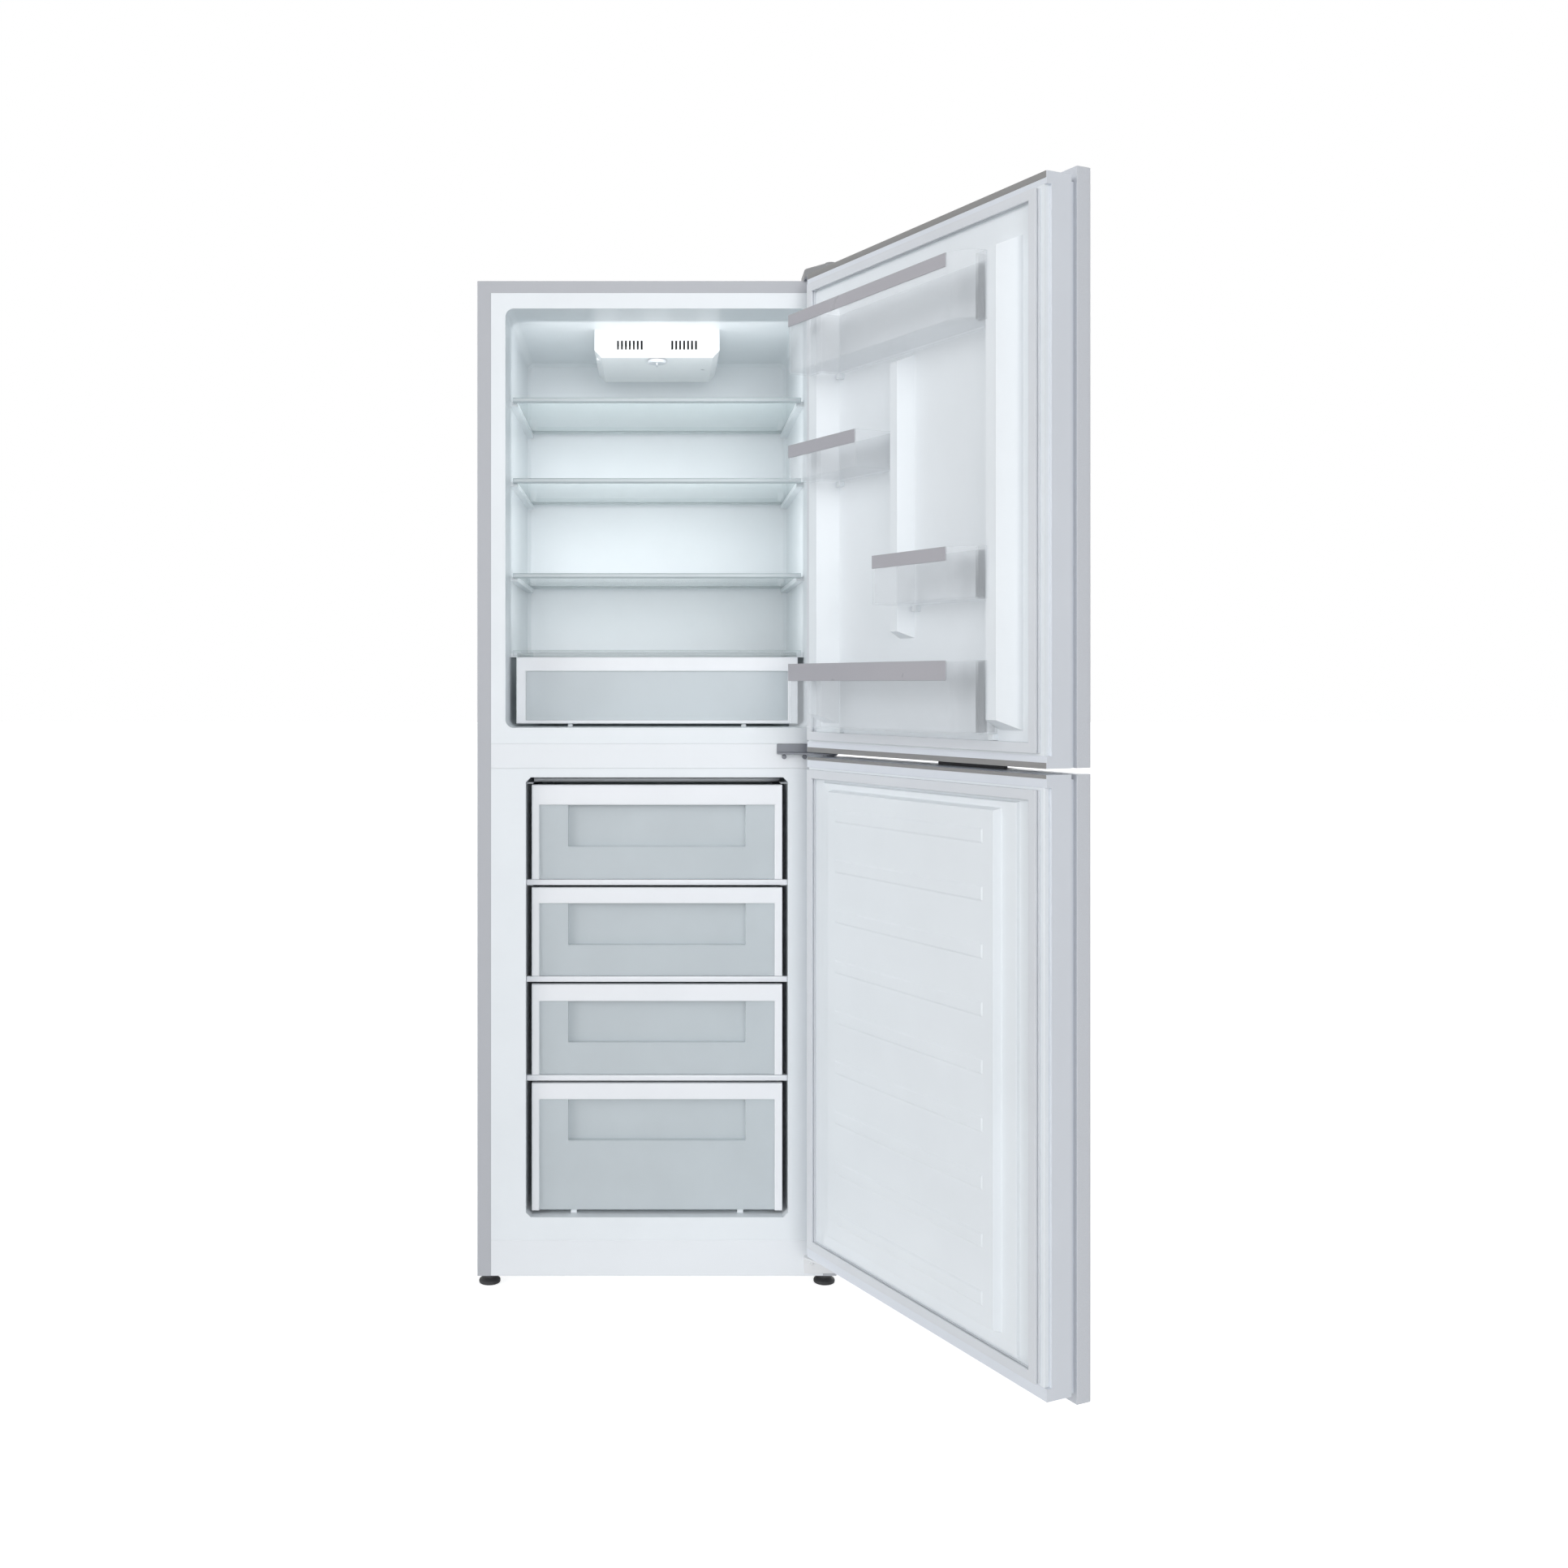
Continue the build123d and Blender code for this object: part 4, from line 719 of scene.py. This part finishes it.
def refrigerant_pipes():
    """Copper pipes from the compressor to the coil, and back through the filter drier."""
    form = bmesh.new()
    condenser_high = condenser_first + (condenser_runs - 1) * condenser_pitch
    clear_of_shell, loop_rise = 30, 30
    out_x = discharge.x - clear_of_shell
    suction_x = suction.x - clear_of_shell
    loop_z = drier_top + loop_rise
    capillary_x, capillary_low = drier_x - 40, drier_bottom - 24
    routes = (
        (pipe_radius, [
            discharge, (out_x, discharge.y, discharge.z), (out_x, condenser_y, discharge.z),
            (-coil_out, condenser_y, discharge.z), (-coil_out, condenser_y, condenser_first),
            (-condenser_half, condenser_y, condenser_first),
        ]),
        (pipe_radius, [
            (condenser_half, condenser_y, condenser_high), (coil_out, condenser_y, condenser_high),
            (coil_out, condenser_y, loop_z), (drier_x, condenser_y, loop_z),
            (drier_x, drier_y, loop_z), (drier_x, drier_y, drier_top - 2),
        ]),
        (capillary_radius, [
            (drier_x, drier_y, drier_bottom + 2), (drier_x, drier_y, capillary_low),
            (capillary_x, drier_y, capillary_low), (capillary_x, drier_y, bay_top),
        ]),
        (suction_radius, [
            suction, (suction_x, suction.y, suction.z), (suction_x, suction.y, bay_top),
        ]),
    )
    for radius, corners in routes:
        points = [spot(*corner) for corner in corners]
        add_tube(form, rounded_route(points, (pipe_bend - 0.5) * mm, 6), radius, 14)
    drier = [(0, 0), (3.4, 0), (3.6, 3), (9, 11), (10, 14), (10, 20), (10.3, 21), (10, 22),
             (10, 50), (10.3, 51), (10, 52), (10, 58), (9, 61), (3.6, 69), (3.4, 72), (0, 72)]
    add_turned(form, drier, facing(spot(drier_x, drier_y, drier_bottom), up), 32)
    shape_piece(
        form, "copper_pipes", finishes["copper_pipe"], "cabinet", "copper_pipe", "refrigerant_pipes"
    )


condenser()
compressor()
refrigerant_pipes()

# ---------------------------------------------------------------- freezer inside

coil_radius, coil_pitch, coil_runs, coil_start = 4.0, 68.0, 6, 45.0
level_wire, level_wire_pitch, wire_gap = 2.0, 14.0, 0.3
coil_side_gap, wire_reach = 7, 20  # beside the coil, and in front of its first run
rail_height, rail_depth, rail_clear = 9, 9, 0.05


def evaporator():
    """Cold shelves above the drawers: a bent tube and its wires on each level, with risers between
    the levels.
    """
    low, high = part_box("freezer_evaporator")
    form = bmesh.new()
    coil_half = (high.x - low.x) / 2 / mm - 0.3 - coil_side_gap - coil_radius + 0.6
    coil_back = coil_start + (coil_runs - 1) * coil_pitch
    levels = [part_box(f"freezer_drawer_{number}_bin")[0].z / mm for number in (3, 2, 1)]
    levels.append(high.z / mm + wire_gap)
    wire_from, wire_to = coil_start - wire_reach, coil_back + 5
    count = int(2 * (coil_half - coil_pitch / 2 + 18) // level_wire_pitch) + 1
    for level in levels:
        tube_z = level - wire_gap - level_wire - 0.05 - coil_radius
        corners = snake(
            coil_half, coil_start, coil_pitch, coil_runs, lambda x, y: spot(x, y, tube_z)
        )
        add_tube(form, rounded_route(corners, coil_pitch / 2 * mm, 7), coil_radius, 12)
        start = spot(
            -(count - 1) * level_wire_pitch / 2,
            (wire_from + wire_to) / 2,
            level - wire_gap - level_wire / 2,
        )
        step = Vector((level_wire_pitch * mm, 0, 0))
        add_wires(
            form, count, start, step, (math.pi / 2, 0, 0), wire_to - wire_from, level_wire,
            finishes["coil_white"],
        )
    for below, above in zip(levels, levels[1:]):
        riser_y = coil_back + coil_radius + 3.3
        riser = [
            spot(-coil_half, riser_y, below - wire_gap - level_wire - 2 * coil_radius),
            spot(-coil_half, riser_y, above - wire_gap - level_wire),
        ]
        add_tube(form, riser, 3.0, 12)
    shape_piece(
        form, "freezer_cold_shelves", finishes["coil_white"], "cabinet", "coil_white",
        "freezer_evaporator",
    )


def front_rails():
    """The white rail along the front edge of each cold shelf between two drawers."""
    low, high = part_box("freezer_evaporator")
    form = bmesh.new()
    rail_front = cabinet_low.y + (coil_start - wire_reach - rail_depth) * mm
    rail_back = cabinet_low.y + (coil_start - wire_reach - rail_clear) * mm
    for number in (3, 2, 1):
        rail_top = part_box(f"freezer_drawer_{number}_bin")[0].z / mm - wire_gap
        add_block(
            form,
            Vector((low.x, rail_front, (rail_top - rail_height) * mm)),
            Vector((high.x, rail_back, rail_top * mm)),
            0.8,
        )
    shape_piece(form, "cold_shelf_rails", rail_plastic, "cabinet", "coil_white")


evaporator()
front_rails()
for number in range(1, 5):
    eased(f"freezer_drawer_{number}_bin", 0.8, window_plastic)
    eased(f"freezer_drawer_{number}_handle", 0.7)

# ---------------------------------------------------------------- fridge inside


def lamp_and_dial():
    """The bulb in its socket and the fluted temperature knob under the housing."""
    low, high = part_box("lamp_bulb")
    axis_y, axis_z = (low.y + high.y) / 2, (low.z + high.z) / 2
    length = (high.x - low.x) / mm
    globe = 11.0
    centre = length - globe
    profile = [(0, 0), (7, 0), (7, 14)]
    neck_turn, globe_turn, steps = math.radians(-52), math.radians(142), 9
    for step in range(steps):
        turn = neck_turn + globe_turn * step / steps
        profile.append((globe * math.cos(turn), centre + globe * math.sin(turn)))
    profile.append((0, length))
    bulb = bmesh.new()
    add_turned(bulb, profile, facing(Vector((low.x, axis_y, axis_z)), right), 28)
    shape_piece(
        bulb, "bulb_and_socket", finishes["bulb_glass"], "cabinet", "bulb_glass", "lamp_bulb"
    )
    low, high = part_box("thermostat_dial")
    centre = Vector(((low.x + high.x) / 2, (low.y + high.y) / 2, high.z))
    knob = [(0, 0), (3, 0), (3, 8), (14, 8), (15.6, 8.4), (16.9, 9.6), (17, 11), (16.8, 13.6),
            (15.4, 15), (0, 15)]
    grip_half_width, grip_half_length, grip_height = 1.5 * mm, 11 * mm, 6 * mm
    dial = bmesh.new()
    add_turned(dial, knob, facing(centre, down), 96, 24, 0.45)
    add_block(
        dial,
        Vector((centre.x - grip_half_width, centre.y - grip_half_length, low.z)),
        Vector((centre.x + grip_half_width, centre.y + grip_half_length, low.z + grip_height)),
        0.5,
    )
    shape_piece(
        dial, "temperature_knob", finishes["dial_grey"], "dial", "dial_grey", "thermostat_dial"
    )


def corner_clips(number):
    """The small white brackets on a shelf's rear corners."""
    low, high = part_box(f"shelf_{number}_glass")
    trim_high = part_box(f"shelf_{number}_trim")[1]
    form = bmesh.new()
    width, depth, rise = 13 * mm, 11 * mm, 21 * mm
    side_gap, back_gap, above_glass = 0.5 * mm, 0.4 * mm, 0.2 * mm
    tongue_inset, tongue_reach, tongue_rise = 1.5 * mm, 9 * mm, 4 * mm
    for x in (low.x + side_gap, high.x - width - side_gap):
        heel = Vector((x, trim_high.y - depth, high.z + above_glass))
        add_block(form, heel, heel + Vector((width, depth - back_gap, rise)), 2.2)
        add_block(
            form,
            heel + Vector((tongue_inset, -tongue_reach, 0)),
            heel + Vector((width - tongue_inset, 1 * mm, tongue_rise)),
            1.2,
        )
    shape_piece(form, f"shelf_{number}_clips", bracket_plastic, f"shelf_{number}", "trim_white")


lamp_and_dial()
for number in range(1, 4):
    eased(f"shelf_{number}_glass", 0.6)
    eased(f"shelf_{number}_trim", 0.6)
    corner_clips(number)
eased("crisper_cover", 0.6)
eased("crisper_bin", 0.8, window_plastic)
eased("crisper_handle", 0.7)

# ---------------------------------------------------------------- doors

for door in ("upper_door", "lower_door"):
    eased(f"{door}_panel", 0.45)
    eased(f"{door}_frame", 0.7)
    eased(f"{door}_liner", 0.9)
    eased(f"{door}_gasket", 0.8)
eased("lower_door_grip", 0.6)


hinge_pin = Vector((0.566, -0.065, 0))
along_door = Vector((0.4384, -0.8988, 0)).normalized()  # from the pin to the free edge
out_of_door = Vector((0.8988, 0.4384, 0)).normalized()


def painted_shade_edge(door, name, from_top, height):
    """A dark grey strip along the inner face of a door's plastic frame, at its top or bottom:
    painted shade for the shaded rim and the gap there.
    """
    proud, sunk, end_gap = 0.5 * mm, 1.5 * mm, 1 * mm
    node = frame["nodes"][f"{door}_frame"]
    corners = [node.matrix_world @ corner.co - hinge_pin for corner in node.data.vertices]
    low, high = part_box(f"{door}_frame")
    near = min(corner.dot(along_door) for corner in corners) + end_gap
    far = max(corner.dot(along_door) for corner in corners) - end_gap
    inner = min(corner.dot(out_of_door) for corner in corners)
    base = high.z - height if from_top else low.z
    place = Matrix.Translation(hinge_pin) @ Matrix((
        (along_door.x, out_of_door.x, 0, 0),
        (along_door.y, out_of_door.y, 0, 0),
        (0, 0, 1, 0),
        (0, 0, 0, 1),
    ))
    form = bmesh.new()
    add_block(
        form,
        Vector((near, inner - proud, base)),
        Vector((far, inner + sunk, base + height)),
        0.4,
        place,
    )
    shape_piece(form, name, painted_shade_plastic, door, "door_plastic")


# dark strips at the doors' ends: painted shade for the shaded top rim and the gap between the doors
painted_shade_edge("upper_door", "upper_door_top_painted_shade_edge", True, 9 * mm)
painted_shade_edge("upper_door", "upper_door_bottom_painted_shade_edge", False, 8 * mm)
painted_shade_edge("lower_door", "lower_door_top_painted_shade_edge", True, 5 * mm)
for number in range(1, 5):
    eased(f"balcony_{number}_bin", 0.7)
    eased(f"balcony_{number}_band", 0.5)

# ---------------------------------------------------------------- feet and rollers


def foot(side):
    """A levelling foot: a ribbed rubber pad on its screw."""
    low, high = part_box(f"front_foot_{side}")
    centre = Vector(((low.x + high.x) / 2, (low.y + high.y) / 2, 0))
    top = high.z / mm
    profile = [(0, 0), (16.4, 0), (17.6, 0.8), (18, 2), (18, 5), (17.4, 6), (12.4, 9.6),
               (11.6, 10.4), (11, 14.4), (10.4, 15), (4, 15), (4, top), (0, top)]
    form = bmesh.new()
    add_turned(form, profile, facing(centre, up), 72, 24, 0.25)
    shape_piece(
        form, f"levelling_foot_{side}", finishes["foot_black"], f"foot_{side}", "foot_black",
        f"front_foot_{side}",
    )


def roller(side):
    """A rear roller with a hollow hub."""
    low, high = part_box(f"rear_roller_{side}")
    axle = Vector((low.x, (low.y + high.y) / 2, (low.z + high.z) / 2))
    width = (high.x - low.x) / mm
    profile = [(3.05, 0), (6, 0), (6.4, 0.6), (6.4, 2.4), (11.6, 2.4), (12, 1.4), (12.4, 0),
               (14, 0), (15, 1), (15, width - 1), (14, width), (12.4, width), (12, width - 1.4),
               (11.6, width - 2.4), (6.4, width - 2.4), (6.4, width - 0.6), (6, width),
               (3.05, width), (3.05, 0)]
    form = bmesh.new()
    add_turned(form, profile, facing(axle, right), 48)
    shape_piece(
        form, f"hub_roller_{side}", finishes["roller_grey"], f"roller_{side}", "roller_grey",
        f"rear_roller_{side}",
    )


for side in ("left", "right"):
    foot(side)
    roller(side)

# ---------------------------------------------------------------- floor, light and camera

floor_reach = 40.0
floor_glow = 0.72
surround_light = 0.32


def seen_rays(nodes, links):
    """One for what the camera, gloss and glass see, nought for what lights the object."""
    path = nodes.new("ShaderNodeLightPath")
    camera_or_gloss = nodes.new("ShaderNodeMath")
    camera_or_gloss.operation = "MAXIMUM"
    seen = nodes.new("ShaderNodeMath")
    seen.operation = "MAXIMUM"
    links.new(path.outputs["Is Camera Ray"], camera_or_gloss.inputs[0])
    links.new(path.outputs["Is Glossy Ray"], camera_or_gloss.inputs[1])
    links.new(camera_or_gloss.outputs[0], seen.inputs[0])
    links.new(path.outputs["Is Transmission Ray"], seen.inputs[1])
    return seen.outputs[0]


def studio_floor():
    """A plain white floor below the feet, which keeps the object's soft shadow."""
    finish = bpy.data.materials.new("floor_white")
    finish.use_nodes = True
    nodes, links = finish.node_tree.nodes, finish.node_tree.links
    shader = nodes["Principled BSDF"]
    shader.inputs["Base Color"].default_value = (0.80, 0.80, 0.80, 1)
    shader.inputs["Roughness"].default_value = 0.8
    shader.inputs["Specular IOR Level"].default_value = 0.1
    shader.inputs["Emission Color"].default_value = (1, 1, 1, 1)
    glow = nodes.new("ShaderNodeMath")
    glow.operation = "MULTIPLY"
    glow.inputs[1].default_value = floor_glow
    links.new(seen_rays(nodes, links), glow.inputs[0])
    links.new(glow.outputs[0], shader.inputs["Emission Strength"])
    corners = [(-floor_reach, -floor_reach, 0), (floor_reach, -floor_reach, 0),
               (floor_reach, floor_reach, 0), (-floor_reach, floor_reach, 0)]
    mesh = bpy.data.meshes.new("floor")
    mesh.from_pydata([Vector(corner) for corner in corners], [], [(0, 1, 2, 3)])
    mesh.materials.append(finish)
    floor = bpy.data.objects.new("floor", mesh)
    scene.collection.objects.link(floor)


def studio_world():
    """White surroundings, dimmer as a light than as a background."""
    world = bpy.data.worlds.new("studio")
    scene.world = world
    world.use_nodes = True
    nodes, links = world.node_tree.nodes, world.node_tree.links
    nodes.clear()
    out = nodes.new("ShaderNodeOutputWorld")
    white = nodes.new("ShaderNodeBackground")
    white.inputs["Color"].default_value = (1, 1, 1, 1)
    white.inputs["Strength"].default_value = 1.0
    light = nodes.new("ShaderNodeBackground")
    light.inputs["Color"].default_value = (0.96, 0.98, 1, 1)
    light.inputs["Strength"].default_value = surround_light
    mix = nodes.new("ShaderNodeMixShader")
    links.new(seen_rays(nodes, links), mix.inputs["Fac"])
    links.new(light.outputs[0], mix.inputs[1])
    links.new(white.outputs[0], mix.inputs[2])
    links.new(mix.outputs[0], out.inputs["Surface"])


def soft_light(name, heading, share, spread):
    """A wide soft light from far away; the share is what it adds on a face square to it."""
    lamp = bpy.data.lights.new(name, "SUN")
    lamp.energy = math.pi * share
    lamp.angle = math.radians(spread)
    lamp.color = (0.975, 0.985, 1)
    holder = bpy.data.objects.new(name, lamp)
    holder.rotation_euler = Vector(heading).to_track_quat("-Z", "Y").to_euler()
    scene.collection.objects.link(holder)


def inside_light(name, low, high, share):
    """The even light of an open compartment; it looks inwards from the front edge."""
    lamp = bpy.data.lights.new(name, "AREA")
    lamp.shape = "RECTANGLE"
    lamp.size, lamp.size_y = high.x - low.x, high.z - low.z
    lamp.energy = math.pi * share * lamp.size * lamp.size_y
    holder = bpy.data.objects.new(name, lamp)
    holder.location = ((low.x + high.x) / 2, low.y, (low.z + high.z) / 2)
    holder.rotation_euler = Vector(back).to_track_quat("-Z", "Y").to_euler()
    holder.visible_camera = False
    holder.visible_glossy = False
    scene.collection.objects.link(holder)


def photo_camera():
    """The photograph's camera: level, 2.7 m in front of the cabinet, with a shifted frame."""
    frame_pixels, focal_pixels, distance, height = 1932.0, 1993.0, 2.70, 1.005
    sensor = 36.0
    centre_x_pixel, horizon_pixel = 809.5, 843.0
    data = bpy.data.cameras.new("photo_camera")
    data.sensor_width = sensor
    data.lens = sensor * focal_pixels / frame_pixels
    data.shift_x = (frame_pixels / 2 - centre_x_pixel) / frame_pixels
    data.shift_y = (horizon_pixel - frame_pixels / 2) / frame_pixels
    data.clip_end = 100.0
    camera = bpy.data.objects.new("photo_camera", data)
    camera.location = (middle_x, cabinet_low.y - distance, height)
    camera.rotation_euler = (math.radians(90), 0, 0)
    scene.collection.objects.link(camera)
    scene.camera = camera


studio_floor()
studio_world()
soft_light("front_light", (-0.15, 1.0, -0.10), 0.40, 35)
soft_light("left_light", (0.80, 0.50, -0.15), 0.47, 50)
soft_light("back_light", (-0.35, -1.0, -0.45), 0.34, 50)
light_half, light_y, light_bottom, light_top = 225, 92, 1085, 1622
inside_light(
    "fridge_light",
    spot(-light_half, light_y, light_bottom),
    spot(light_half, light_y, light_top),
    1.3,
)
photo_camera()
scene.view_settings.view_transform = "Standard"
